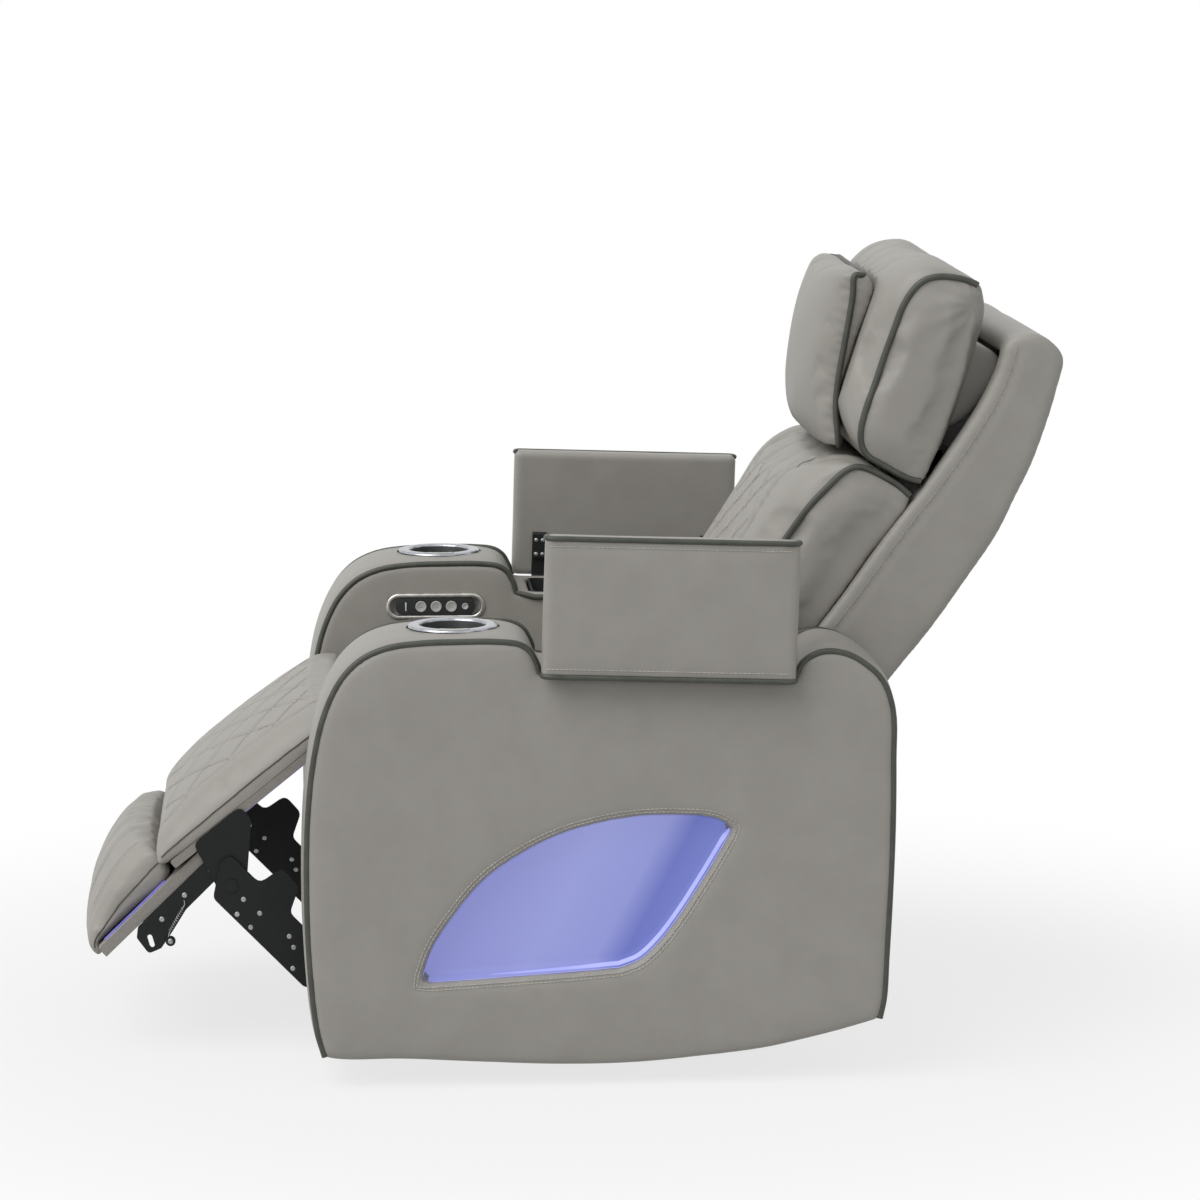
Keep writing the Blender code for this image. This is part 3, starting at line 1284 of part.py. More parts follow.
def head_section():
    height, front = HEAD_HEIGHT, -HEAD_DEPTH
    crown = front - HEAD_CROWN
    side = [(height - 0.004, -0.013), (height, -0.040), (height - 0.006, -0.070), (height - 0.022, -0.094),
            (height - 0.053, front + 0.006), (height - 0.098, front + 0.001), (0.136, front), (0.085, front),
            (0.036, -0.108), (0.0183, -0.093), (0.0121, -0.073), (0.0055, -0.041), (0.004, -0.006),
            (0.030, -0.0025), (0.103, -0.0010), (0.163, -0.0010), (0.203, -0.004), (0.259, -0.006)]
    centre = [(height + 0.003, -0.010), (height + 0.013, -0.058), (height + 0.009, -0.104),
              (height - 0.012, crown + 0.012), (height - 0.045, crown), (height - 0.098, crown),
              (0.136, crown), (0.085, crown), (0.050, crown + 0.010), (0.026, -0.112), (0.0145, -0.080),
              (0.0085, -0.041), (0.005, -0.006), HEAD_REAR_LINE[0], HEAD_REAR_LINE[1], (0.163, 0.008),
              (0.203, 0.003), (0.259, -0.002)]
    held = [[(u, min(max(w, crown), head_rear(u))) for u, w in smooth_closed(loop, 2)]
            for loop in (side, centre)]
    return cushion("head_section", head_points(held[0]), head_points(held[1]), HEAD_HALF, leather())


def head_pillow():
    """The pillow on the headrest's front: flat behind, full in front."""
    rear = -HEAD_DEPTH - HEAD_CROWN - SEAM_GAP
    top = PILLOW_HEIGHT
    full = rear - PILLOW_THICKNESS
    side = [(top - 0.006, rear), (top, rear - 0.020), (top - 0.003, rear - 0.034), (top - 0.027, rear - 0.027),
            (top - 0.068, rear - 0.020), (top - 0.138, rear - 0.012), (0.058, rear - 0.010),
            (0.014, rear - 0.008), (0.008, rear), (0.080, rear), (0.160, rear)]
    centre = [(top - 0.006, rear), (top + 0.004, rear - 0.026), (top - 0.003, full + 0.012),
              (top - 0.043, full), (top - 0.089, full), (top - 0.148, full + 0.010), (0.062, full + 0.022),
              (0.022, full + 0.041), (0.006, rear - 0.006), (0.080, rear), (0.160, rear)]
    held = [[(u, min(w, rear)) for u, w in smooth_closed(loop, 2)] for loop in (side, centre)]
    return cushion("head_pillow", head_points(held[0]), head_points(held[1]), PILLOW_HALF, leather())


def head_hinge_point():
    return head_points([HEAD_HINGE])[0]


def headrest_bracket():
    """On the shell: a plate in the pocket, two posts and the rod that the headrest turns on."""
    (s0, _), (s1, t1) = SHELL_POCKET
    slope = POCKET_TAPER / (s1 - s0)
    low, high = s0 + 0.010, s0 + 0.062
    low_t, high_t = (t1 - SEAM_GAP - slope * (s - s0) for s in (low, high))
    plate_outline = [(low, low_t), (high, high_t), (high, high_t - PLATE), (low, low_t - PLATE)]
    plate = prism("headrest_bracket", back_points(plate_outline), -HEAD_LUG_X - 0.03, HEAD_LUG_X + 0.03,
                  black_steel())
    hinge = head_hinge_point()
    rel = Vector(hinge) - Vector(BACK_PIVOT)
    s = rel.x * math.sin(BACK_LEAN) + rel.y * math.cos(BACK_LEAN)
    t = rel.x * math.cos(BACK_LEAN) - rel.y * math.sin(BACK_LEAN)
    post = rounded([(low + 0.004, low_t - 0.002), (s - 0.008, t - 0.006), (s + 0.008, t - 0.006),
                    (high - 0.008, high_t - 0.001)], [0.001, 0.004, 0.004, 0.001], 3)
    pieces = []
    for side in (1, -1):
        low_x, high_x = span(side, HEAD_LUG_X + LUG_GAP, HEAD_LUG_X + LUG_GAP + PLATE)
        pieces.append(prism("head_post_" + side_name(side), back_points(post), low_x, high_x, black_steel()))
    pieces.append(rod("head_rod", (0, *hinge), "X", HEAD_ROD_RADIUS, -HEAD_LUG_X - 0.018, HEAD_LUG_X + 0.018,
                      zinc()))
    return join(plate, pieces)


def headrest_lugs():
    """On the headrest: two plates whose eyes turn on the bracket's rod, on a common mounting
    strip."""
    u, w = HEAD_HINGE
    eye = 0.0085
    outline = ellipse((u, w), (eye, eye), 20, 250, 8)
    low, high = u + 0.050, u + 0.078
    low_w, high_w = (head_rear(run) + SEAM_GAP for run in (low, high))
    outline += [(u + 0.020, head_rear(u + 0.020) + 0.003), (high, high_w), (high, high_w + 0.005)]
    outline = head_points(outline)
    lugs, other = [prism(name, outline, *span(side, HEAD_LUG_X - PLATE, HEAD_LUG_X), black_steel())
                   for name, side in (("headrest_lugs", 1), ("lug_right", -1))]
    strip = head_points([(low, low_w), (high, high_w), (high, high_w + 0.003), (low, low_w + 0.003)])
    join(lugs, [prism("lug_strip", strip, -HEAD_LUG_X + 0.001, HEAD_LUG_X - 0.001, black_steel()), other])
    return drill(lugs, "headrest_lugs", head_hinge_point(), HEAD_ROD_RADIUS + RIVET_GAP, -0.2, 0.2)


# Actuators

def foot_pin_z():
    return FOOT_RAIL_Z + ACTUATOR_RAIL[1] + SEAM_GAP + NUT_SIZE[2] / 2


def back_pin_z():
    return BACK_RAIL_Z + ACTUATOR_RAIL[1] + SEAM_GAP + NUT_SIZE[2] / 2


def rail_with_motor(name, x, z, ends, motor):
    """A flat guide rail with a round gear motor lying on it."""
    half = ACTUATOR_RAIL[0] / 2
    top = z + ACTUATOR_RAIL[1]
    rail = box(name, (x - half, ends[0], z), (x + half, ends[1], top), black_steel())
    return join(rail, [rod(name + "_motor", (x, 0, top + MOTOR_RADIUS - 0.001), "Y", MOTOR_RADIUS, *motor,
                           black_plastic(), 24)])


def footrest_actuator():
    """Between the seat rails, above the folded flipper."""
    x, z = FOOT_ACTUATOR_X, FOOT_RAIL_Z
    ends = (FRONT_RAIL[1][0] + SEAM_GAP, REAR_RAIL[0][0] - SEAM_GAP)
    rail = rail_with_motor("footrest_actuator", x, z, ends, FOOT_MOTOR_Y)
    top = FRONT_RAIL[0][1] + 0.022
    feet = []
    for number, (low_y, high_y) in enumerate(((ends[0], ends[0] + PLATE), (ends[1] - PLATE, ends[1]))):
        feet.append(box("foot_end_%d" % number, (x - 0.018, low_y, z), (x + 0.018, high_y, top), black_steel()))
    return join(rail, feet)


def recline_actuator():
    """On posts from the two cross tubes."""
    x, z = BACK_ACTUATOR_X, BACK_RAIL_Z
    ends = (CROSS_TUBE_Y[0] - 0.010, CROSS_TUBE_Y[1] + 0.030)
    rail = rail_with_motor("recline_actuator", x, z, ends, BACK_MOTOR_Y)
    base = tube_low_z() + CROSS_TUBE + SEAM_GAP
    posts = []
    for number, y in enumerate(CROSS_TUBE_Y):
        posts.append(box("recline_post_%d" % number, (x - 0.009, y - 0.010, base), (x + 0.009, y + 0.010, z + 0.002),
                         black_steel()))
        posts.append(box("recline_foot_%d" % number, (x - 0.022, y - 0.011, base), (x + 0.022, y + 0.011, base + 0.004),
                         black_steel()))
    return join(rail, posts)


def drive_nut(name, x, y, z, pin_length):
    """A block that slides on its rail, with the pin that works in the lug's slot."""
    width, length, height = NUT_SIZE
    nut = box(name, (x - width / 2, y - length / 2, z - height / 2), (x + width / 2, y + length / 2, z + height / 2),
              zinc())
    pin = rod(name + "_pin", (0, y, z), "X", LUG_PIN_RADIUS, x, x + width / 2 + pin_length, zinc())
    return join(nut, [pin])


def footrest_nut():
    return drive_nut("footrest_nut", FOOT_ACTUATOR_X, CRANK_PIVOT[0], foot_pin_z(), LUG_GAP + PLATE + 0.001)


def recline_nut():
    y = BACK_PIVOT[0] + (BACK_PIVOT[1] - back_pin_z()) * math.tan(BACK_LUG_REST)
    return drive_nut("recline_nut", BACK_ACTUATOR_X, y, back_pin_z(), LUG_GAP + PLATE + 0.001)


def power_inlet():
    """The socket for the supply lead, on the rear cross tube."""
    y = CROSS_TUBE_Y[1] + CROSS_TUBE / 2 + SEAM_GAP
    z = tube_low_z() + CROSS_TUBE / 2
    inlet = box("power_inlet", (INLET_X - 0.016, y, z - 0.010), (INLET_X + 0.016, y + 0.024, z + 0.010),
                black_plastic(), 0.0015)
    return boolean(inlet, rod("inlet_bore", (INLET_X, 0, z), "Y", 0.0048, y + 0.010, y + 0.04, zinc(), 20))


# Bodies

def body(name, place, members):
    """Hangs the pieces of one moving body on an empty that lies on its joint's axis."""
    axis = bpy.data.objects.new(name, None)
    axis.location = place
    axis.empty_display_size = 0.03
    bpy.context.scene.collection.objects.link(axis)
    for member in members:
        member.parent = axis
        member.matrix_parent_inverse = Matrix.Translation(-Vector(place))


def fixed_pieces():
    for side in (1, -1):
        arm(side)
        storage_bin(side)
        cup_holder(side)
        light_panel(side)
        base_rail(side)
        side_plate(side)
    control_bezel()
    control_plate()
    cross_tube("front_cross_tube", CROSS_TUBE_Y[0])
    cross_tube("rear_cross_tube", CROSS_TUBE_Y[1])
    seat_rail("seat_front_rail", FRONT_RAIL)
    seat_rail("seat_rear_rail", REAR_RAIL)
    seat_springs()
    seat_cushion()
    footrest_actuator()
    recline_actuator()
    power_inlet()


def moving_pieces():
    body("crank_axis", (0, *CRANK_PIVOT), [crank(1), crank(-1), torque_tube()])
    body("knee_axis", (0, *KNEE_PIVOT), [lift_link(1), lift_link(-1)])
    body("legrest_axis", (0, *LEG_PIVOT),
         [legrest_bracket(1), legrest_bracket(-1), legrest_board(), legrest_pad()])
    body("flipper_axis", (0, *FLIPPER_HINGE),
         [flipper_board(), flipper_pad(), flipper_arm(1), flipper_arm(-1), flipper_spring(1),
          flipper_spring(-1)])
    body("back_axis", (0, *BACK_PIVOT),
         [back_shell(), back_cushion(), back_frame(), headrest_bracket()])
    body("head_axis", (0, *head_hinge_point()), [head_section(), head_pillow(), headrest_lugs()])
    body("footrest_nut_axis", (FOOT_ACTUATOR_X, CRANK_PIVOT[0], foot_pin_z()), [footrest_nut()])
    body("recline_nut_axis", (BACK_ACTUATOR_X, BACK_PIVOT[0], back_pin_z()), [recline_nut()])
    for side in (1, -1):
        pivot = deck_matrix() @ Vector((side * (CHAIR_WIDTH / 2 - LID_PIVOT_INSET), 0, -LID_PIVOT_DROP))
        body("lid_axis_" + side_name(side), pivot, [lid(side)] + lid_hinges(side))
        body("cup_button_axis_" + side_name(side), cup_centre(side), [cup_button(side)])
    for button in control_buttons():
        body(button.name + "_axis", (pad_face_x(), *PAD_CENTRE), [button])


def build():
    for old in list(bpy.data.objects):
        bpy.data.objects.remove(old, do_unlink=True)
    fixed_pieces()
    moving_pieces()


build()
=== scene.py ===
"""Looks of a powered recliner: padded leather, piping and lit panels over its steel frame.

Metres, +Z up, the chair faces -Y and +X is the sitter's left.
"""

import json
import logging
import math
from collections.abc import Callable, Iterable, Sequence
from dataclasses import dataclass, replace
from enum import Enum
from functools import cache

import bmesh
import bpy
import numpy as np
from mathutils import Matrix, Vector, noise
from mathutils.bvhtree import BVHTree

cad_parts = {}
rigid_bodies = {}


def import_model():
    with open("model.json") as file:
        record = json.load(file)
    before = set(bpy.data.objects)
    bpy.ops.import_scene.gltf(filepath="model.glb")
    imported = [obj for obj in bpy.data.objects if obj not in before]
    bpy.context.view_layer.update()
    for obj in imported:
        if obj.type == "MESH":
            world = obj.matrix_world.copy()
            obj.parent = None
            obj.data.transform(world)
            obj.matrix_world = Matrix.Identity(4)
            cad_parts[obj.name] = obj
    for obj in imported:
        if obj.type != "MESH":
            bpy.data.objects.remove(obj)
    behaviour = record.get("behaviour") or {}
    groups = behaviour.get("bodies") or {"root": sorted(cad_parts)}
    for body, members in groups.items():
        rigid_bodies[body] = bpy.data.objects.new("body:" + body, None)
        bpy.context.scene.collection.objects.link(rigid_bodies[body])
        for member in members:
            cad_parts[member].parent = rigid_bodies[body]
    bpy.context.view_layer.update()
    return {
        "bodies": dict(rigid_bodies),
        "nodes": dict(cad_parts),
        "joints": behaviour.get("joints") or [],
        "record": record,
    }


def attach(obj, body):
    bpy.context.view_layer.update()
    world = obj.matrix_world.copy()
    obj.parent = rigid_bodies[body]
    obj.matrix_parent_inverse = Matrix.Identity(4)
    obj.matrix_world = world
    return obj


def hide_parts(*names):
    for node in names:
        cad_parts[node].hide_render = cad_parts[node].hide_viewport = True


Point = tuple[float, float]
Points = Sequence[Point]
Triple = tuple[float, float, float]
Line = Sequence[Vector]
Array = np.ndarray
Lift = Callable[[Array, Array], Array]      # gives displacements for places and their normals
Settings = dict[str, object]
Mesh = bmesh.types.BMesh
Piece = bpy.types.Object
Tree = bpy.types.NodeTree
Socket = bpy.types.NodeSocket

AIR_FRAMES = 20                 # steps of the cloth simulation
SOFTENING_ROUNDS = 2            # that take the edges off an even mesh
WELT_LIFT = 0.0014              # of a welt's middle over the seam that it covers
WELT_ROUNDS = 6                 # that even a welt out over small folds
UP = Vector((0, 0, 1))
ACROSS = Vector((1, 0, 0))
LOG = logging.getLogger("recliner")


class Side(Enum):
    """The sitter's side of the chair, with the sign of its X."""

    LEFT = 1
    RIGHT = -1

    @property
    def word(self) -> str:
        """The side's name as the nodes have it."""
        return self.name.lower()


class Slot(Enum):
    """Material slots of the record."""

    UPHOLSTERY = "grey_upholstery"
    BOARD = "board_cover"
    TIMBER = "timber"
    STEEL = "black_steel"
    ZINC = "zinc"
    CUP = "cup_steel"
    SILVER = "satin_silver"
    PLASTIC = "black_plastic"
    BUTTON = "button_grey"
    LENS = "light_lens"


# Materials


def linear(code: str) -> tuple[float, float, float, float]:
    """Turns an sRGB hex colour to linear values.

    Args:
        code: The colour, such as "#8F8B86".

    Returns:
        Red, green, blue and an alpha of 1.
    """
    parts = [int(code[i:i + 2], 16) / 255 for i in (1, 3, 5)]
    return (*(c / 12.92 if c <= 0.04045 else ((c + 0.055) / 1.055) ** 2.4 for c in parts), 1.0)


def add_node(tree: Tree, kind: str, inputs: Settings | None = None,
             stops: Sequence[tuple[float, str]] = (), **settings: object) -> bpy.types.Node:
    """Adds a node with its settings, and gives each named input a value or a link.

    Args:
        tree: The material's node tree.
        kind: The node's type name.
        inputs: Values or output sockets, by input name or number.
        stops: Places and hex colours, where the node has a colour ramp.
        settings: Attributes of the node itself.

    Returns:
        The new node.
    """
    made = tree.nodes.new(kind)
    for name, value in settings.items():
        setattr(made, name, value)
    for name, value in (inputs or {}).items():
        if isinstance(value, Socket):
            tree.links.new(value, made.inputs[name])
        else:
            made.inputs[name].default_value = value
    while stops and len(made.color_ramp.elements) < len(stops):
        made.color_ramp.elements.new(0.5)
    for element, (place, code) in zip(made.color_ramp.elements if stops else (), stops):
        element.position = place
        element.color = linear(code)
    return made


@dataclass(frozen=True)
class Finish:
    """A surface whose colour and roughness drift together, with a fine grain in its relief."""

    name: str
    light: str
    dark: str
    roughness: Point
    cloud: float                # size of the drift, in metres
    grain: float                # size of the grain, in metres
    depth: float                # height of the grain, in metres
    stretch: Triple = (1.0, 1.0, 1.0)
    metallic: float = 0.0
    specular: float = 0.5
    slot: Slot = Slot.UPHOLSTERY

    @cache
    def build(self) -> bpy.types.Material:
        """Makes the material, once for each finish."""
        made = bpy.data.materials.new(self.name)
        made.use_nodes = True
        tree = made.node_tree
        shader = tree.nodes["Principled BSDF"]
        where = add_node(tree, "ShaderNodeTexCoord").outputs["Object"]
        drawn = add_node(tree, "ShaderNodeMapping", {"Vector": where, "Scale": self.stretch}).outputs[0]
        cloud = add_node(tree, "ShaderNodeTexNoise", {"Vector": drawn, "Scale": 1.0 / self.cloud,
                                                      "Detail": 5.0}).outputs[0]
        tone = add_node(tree, "ShaderNodeValToRGB", {"Fac": cloud},
                        ((0.34, self.dark), (0.66, self.light))).outputs[0]
        dull = add_node(tree, "ShaderNodeMapRange", {"Value": cloud, "From Min": 0.3, "From Max": 0.7,
                                                     "To Min": self.roughness[0],
                                                     "To Max": self.roughness[1]}).outputs[0]
        tree.links.new(tone, shader.inputs["Base Color"])
        tree.links.new(dull, shader.inputs["Roughness"])
        shader.inputs["Metallic"].default_value = self.metallic
        shader.inputs["Specular IOR Level"].default_value = self.specular
        tree.links.new(self.relief(tree, drawn), shader.inputs["Normal"])
        self.light_up(tree, where, shader)
        return made

    def relief(self, tree: Tree, where: Socket) -> Socket:
        """The grain, as a bumped normal.

        Args:
            tree: The material's node tree.
            where: Coordinates in metres.

        Returns:
            The normal.
        """
        grain = add_node(tree, "ShaderNodeTexNoise", {"Vector": where, "Scale": 1.0 / self.grain,
                                                      "Detail": 2.0}).outputs[0]
        return add_node(tree, "ShaderNodeBump", {"Height": grain, "Strength": 0.35,
                                                 "Distance": self.depth}).outputs[0]

    def light_up(self, tree: Tree, where: Socket, shader: bpy.types.Node) -> None:
        """Unlit surfaces add nothing here."""


@dataclass(frozen=True)
class BondedLeather(Finish):
    """Embossed bonded leather: a satin coat over a small pebble grain that evens every highlight."""

    name: str = "bonded_leather"
    light: str = "#94918B"
    dark: str = "#8F8C86"
    roughness: Point = (0.46, 0.56)
    cloud: float = 0.05
    grain: float = 0.0018       # pebbles are 0.8 mm, drawn larger so that they show
    depth: float = 0.00022

    def relief(self, tree: Tree, where: Socket) -> Socket:
        """Pebbles over faint creases."""
        pebbles = add_node(tree, "ShaderNodeTexVoronoi",
                           {"Vector": where, "Scale": 1.0 / self.grain, "Randomness": 0.9},
                           feature="SMOOTH_F1").outputs["Distance"]
        fine = add_node(tree, "ShaderNodeBump", {"Height": pebbles, "Strength": 0.35,
                                                 "Distance": self.depth}, invert=True).outputs[0]
        folds = add_node(tree, "ShaderNodeTexNoise", {"Vector": where, "Scale": 40.0,
                                                      "Detail": 5.0}).outputs[0]
        return add_node(tree, "ShaderNodeBump", {"Height": folds, "Strength": 0.2, "Distance": 0.0010,
                                                 "Normal": fine}).outputs[0]


@dataclass(frozen=True)
class VinylPiping(Finish):
    """Smooth extruded vinyl welt: darker than the hide, a little glossier, faintly wrinkled."""

    name: str = "vinyl_piping"
    light: str = "#45473F"
    dark: str = "#383A34"
    roughness: Point = (0.42, 0.55)
    cloud: float = 0.02
    grain: float = 0.004
    depth: float = 0.0006


@dataclass(frozen=True)
class SewingThread(Finish):
    """Bonded polyester thread: twisted, so it has a fine diagonal rib and a dull sheen."""

    name: str = "sewing_thread"
    light: str = "#B7B4AD"
    dark: str = "#A19E97"
    roughness: Point = (0.58, 0.68)
    cloud: float = 0.01
    grain: float = 0.0024       # turns of the twist
    depth: float = 0.0002

    def relief(self, tree: Tree, where: Socket) -> Socket:
        """The twist of the yarn."""
        twist = add_node(tree, "ShaderNodeTexWave", {"Vector": where, "Scale": 1.0 / self.grain,
                                                     "Distortion": 1.5}, bands_direction="DIAGONAL")
        return add_node(tree, "ShaderNodeBump", {"Height": twist.outputs["Fac"], "Strength": 0.5,
                                                 "Distance": self.depth}).outputs[0]


@dataclass(frozen=True)
class BoardCloth(Finish):
    """Spun-bonded dust cloth stretched over the boards: matt, with a felted speckle."""

    name: str = "board_cloth"
    light: str = "#95918C"
    dark: str = "#837E79"
    roughness: Point = (0.8, 0.95)
    cloud: float = 0.0022
    grain: float = 0.0022
    depth: float = 0.0004
    slot: Slot = Slot.BOARD


@dataclass(frozen=True)
class PowderCoat(Finish):
    """Black polyester powder coat baked on steel: an orange-peel skin with dull rubbed spots."""

    name: str = "powder_coated_steel"
    light: str = "#17191A"
    dark: str = "#0D0F10"
    roughness: Point = (0.46, 0.62)
    cloud: float = 0.035
    grain: float = 0.0016       # peel is 1 mm, drawn a little coarser so that it shows
    depth: float = 0.0004
    specular: float = 0.28
    slot: Slot = Slot.STEEL


@dataclass(frozen=True)
class PlatedMetal(Finish):
    """Plated or polished metal whose plating is a little cloudy and finely scratched."""

    cloud: float = 0.012
    grain: float = 0.0015
    depth: float = 0.0001
    metallic: float = 1.0


@dataclass(frozen=True)
class MouldedPlastic(Finish):
    """Injection-moulded ABS with a spark-eroded texture: even, matt, faintly speckled."""

    roughness: Point = (0.42, 0.56)
    cloud: float = 0.0009
    grain: float = 0.0009       # the eroded grain is 0.1 mm, drawn coarser so that it shows
    depth: float = 0.0002
    slot: Slot = Slot.PLASTIC


@dataclass(frozen=True)
class Plywood(Finish):
    """Rotary-cut birch plywood, unfinished: long grain streaks on a pale ground."""

    name: str = "birch_plywood"
    light: str = "#CBAE84"
    dark: str = "#A07E55"
    roughness: Point = (0.6, 0.8)
    cloud: float = 0.09
    grain: float = 0.012
    depth: float = 0.0005
    stretch: Triple = (1.0, 14.0, 14.0)
    slot: Slot = Slot.TIMBER


@dataclass(frozen=True)
class LitFinish(Finish):
    """A surface that glows by itself, in shades along a line of places from 0 to 1."""

    slot: Slot = Slot.LENS
    strength: float = 0.7
    shades: tuple[tuple[float, str], ...] = ()

    def place(self, tree: Tree, where: Socket) -> Socket:
        """The place in the shades; each kind of light has its own."""
        raise NotImplementedError

    def light_up(self, tree: Tree, where: Socket, shader: bpy.types.Node) -> None:
        """Lays the glow over the surface.

        Args:
            tree: The material's node tree.
            where: Coordinates in metres.
            shader: The Principled shader.
        """
        glow = add_node(tree, "ShaderNodeValToRGB", {"Fac": self.place(tree, where)},
                        self.shades).outputs[0]
        tree.links.new(glow, shader.inputs["Emission Color"])
        shader.inputs["Emission Strength"].default_value = self.strength


@dataclass(frozen=True)
class LitAcrylic(LitFinish):
    """Frosted acrylic lit by diodes: bright at the front, with painted shade where the dish curves
    away.
    """

    name: str = "lit_acrylic"
    light: str = "#3C4178"
    dark: str = "#343970"
    roughness: Point = (0.45, 0.6)
    cloud: float = 0.12
    grain: float = 0.002
    depth: float = 0.0002
    strength: float = 0.86
    # the darker stops at 0.84 and 1.0 are painted shade of the dish's curve
    shades: tuple[tuple[float, str], ...] = ((0.0, "#8589BE"), (0.45, "#959ACB"), (0.72, "#8D92C6"),
                                             (0.84, "#626CAC"), (1.0, "#727CB8"))
    ramp_way: Triple = (0.0, 3.157, -1.668)     # across the painted shade at the curve's edge
    ramp_start: float = 0.936

    def place(self, tree: Tree, where: Socket) -> Socket:
        """The place along the leaf, from its front to its curved rear edge."""
        along = add_node(tree, "ShaderNodeVectorMath", {0: where, 1: self.ramp_way},
                         operation="DOT_PRODUCT").outputs["Value"]
        return add_node(tree, "ShaderNodeMath", {0: along, 1: self.ramp_start}).outputs[0]


@dataclass(frozen=True)
class DiodeStrip(LitFinish):
    """A silicone-covered light strip: a milky skin that glows violet in soft beads."""

    name: str = "diode_strip"
    light: str = "#5A5688"
    dark: str = "#4E4A7C"
    roughness: Point = (0.4, 0.5)
    cloud: float = 0.02
    grain: float = 0.004
    depth: float = 0.0002
    shades: tuple[tuple[float, str], ...] = ((0.3, "#5F5BB4"), (0.7, "#7C78CC"))

    def place(self, tree: Tree, where: Socket) -> Socket:
        """The soft beads of light."""
        return add_node(tree, "ShaderNodeTexNoise", {"Vector": where,
                                                     "Scale": 1.0 / self.cloud}).outputs[0]


LEATHER = BondedLeather()
PIPING = VinylPiping()
THREAD = SewingThread()
# a dark cord for the seam lines: painted shade of the seams' creases
CREASE_SHADE_CORD = SewingThread("seam_thread", "#57544E", "#45423D")
CLOTH = BoardCloth()
COATED = PowderCoat()
ZINC = PlatedMetal("zinc_plated_steel", "#A9ACAB", "#8C9091", (0.34, 0.48), slot=Slot.ZINC)
POLISHED = PlatedMetal("polished_stainless", "#B4B7BC", "#9A9DA2", (0.20, 0.30), slot=Slot.CUP)
SATIN = PlatedMetal("satin_chrome_plate", "#C9C7C2", "#B1AFAB", (0.26, 0.36), slot=Slot.SILVER)
BLACK_ABS = MouldedPlastic("black_abs", "#26282A", "#17191A")
GREY_ABS = MouldedPlastic("grey_abs", "#B9B9B5", "#A6A6A3", (0.38, 0.5), slot=Slot.BUTTON)
INDICATOR = MouldedPlastic("indicator_lens", "#D8D8D4", "#C6C6C2", (0.3, 0.4))
PLYWOOD = Plywood()
ACRYLIC = LitAcrylic()
# a painted highlight: the glow of the panel's light on the recess wall
PAINTED_RIM_LIGHT = DiodeStrip("lit_acrylic_edge", "#8A8FC4", "#7F84BC", cloud=0.06,
                      strength=0.6, shades=((0.3, "#A2A6DE"), (0.7, "#B0B4E8")))
DIODES = DiodeStrip()
SLOT_FINISHES = {finish.slot: finish for finish in (
    LEATHER, CLOTH, PLYWOOD, COATED, ZINC, POLISHED, SATIN, BLACK_ABS, GREY_ABS, ACRYLIC)}


# Lines and meshes


@dataclass(frozen=True)
class SideFrame:
    """A tilted frame of the side view: run along it and rise across it, each a direction (Y, Z)."""

    origin: Point
    run: Point
    rise: Point

    def at(self, x: float, run: float, rise: float) -> Vector:
        """The point at a width, run and rise."""
        return Vector((x, self.origin[0] + run * self.run[0] + rise * self.rise[0],
                       self.origin[1] + run * self.run[1] + rise * self.rise[1]))

    def line(self, x: float, points: Iterable[Point]) -> list[Vector]:
        """The (run, rise) points at one width."""
        return [self.at(x, run, rise) for run, rise in points]

    def split(self, co: Array) -> tuple[Array, Array]:
        """Run and rise of many points."""
        y, z = co[:, 1] - self.origin[0], co[:, 2] - self.origin[1]
        return y * self.run[0] + z * self.run[1], y * self.rise[0] + z * self.rise[1]

    def joined(self, x: Array, run: Array, rise: Array) -> Array:
        """The points of many widths, runs and rises."""
        return np.stack((x, self.origin[0] + run * self.run[0] + rise * self.rise[0],
                         self.origin[1] + run * self.run[1] + rise * self.rise[1]), axis=1)


def reclined(origin: Point, degrees: float) -> SideFrame:
    """A frame that leans to the rear: run goes up it, rise to its rear."""
    lean = math.radians(degrees)
    return SideFrame(origin, (math.sin(lean), math.cos(lean)), (math.cos(lean), -math.sin(lean)))


def descending(origin: Point, degrees: float) -> SideFrame:
    """A frame that slopes down to the front: run goes down it, rise off its face."""
    pitch = math.radians(degrees)
    return SideFrame(origin, (-math.cos(pitch), -math.sin(pitch)), (-math.sin(pitch), math.cos(pitch)))


LEG_PITCH = 38.8                # degrees, as are the others
FLIPPER_PITCH = 44.1
LEVEL = SideFrame((0.0, 0.0), (1.0, 0.0), (0.0, 1.0))
BACK = reclined((0.1725, 0.420), 34.4)
HEAD = reclined((0.4965, 0.802), 17.9)
LEG = descending((-0.3125, 0.4635), LEG_PITCH)
FLIPPER = descending((-0.50201, 0.30022), FLIPPER_PITCH)
DECK = SideFrame((-0.056, 0.574), (math.cos(math.radians(1.8)), -math.sin(math.radians(1.8))),
                 (math.sin(math.radians(1.8)), math.cos(math.radians(1.8))))


def smooth_line(points: Line, per_span: int = 6, closed: bool = False) -> list[Vector]:
    """A smooth curve through points, each span's tangents as long as the span.

    Args:
        points: Points that the curve passes.
        per_span: Steps in each span.
        closed: Whether the last point joins the first.

    Returns:
        The curve's points.
    """
    count = len(points)
    headings = []
    for i, here in enumerate(points):
        ahead = points[(i + 1) % count] - here
        behind = here - points[i - 1]
        if not closed and i == count - 1:
            ahead = behind
        if not closed and i == 0:
            behind = ahead
        headings.append((ahead.normalized() + behind.normalized()).normalized())
    curve = []
    for i in range(count if closed else count - 1):
        start, end = points[i], points[(i + 1) % count]
        length = (end - start).length
        for j in range(per_span):
            t = j / per_span
            curve.append(start * (2 * t ** 3 - 3 * t ** 2 + 1) + end * (3 * t ** 2 - 2 * t ** 3)
                         + length * headings[i] * (t ** 3 - 2 * t ** 2 + t)
                         + length * headings[(i + 1) % count] * (t ** 3 - t ** 2))
    return curve if closed else curve + [points[-1]]


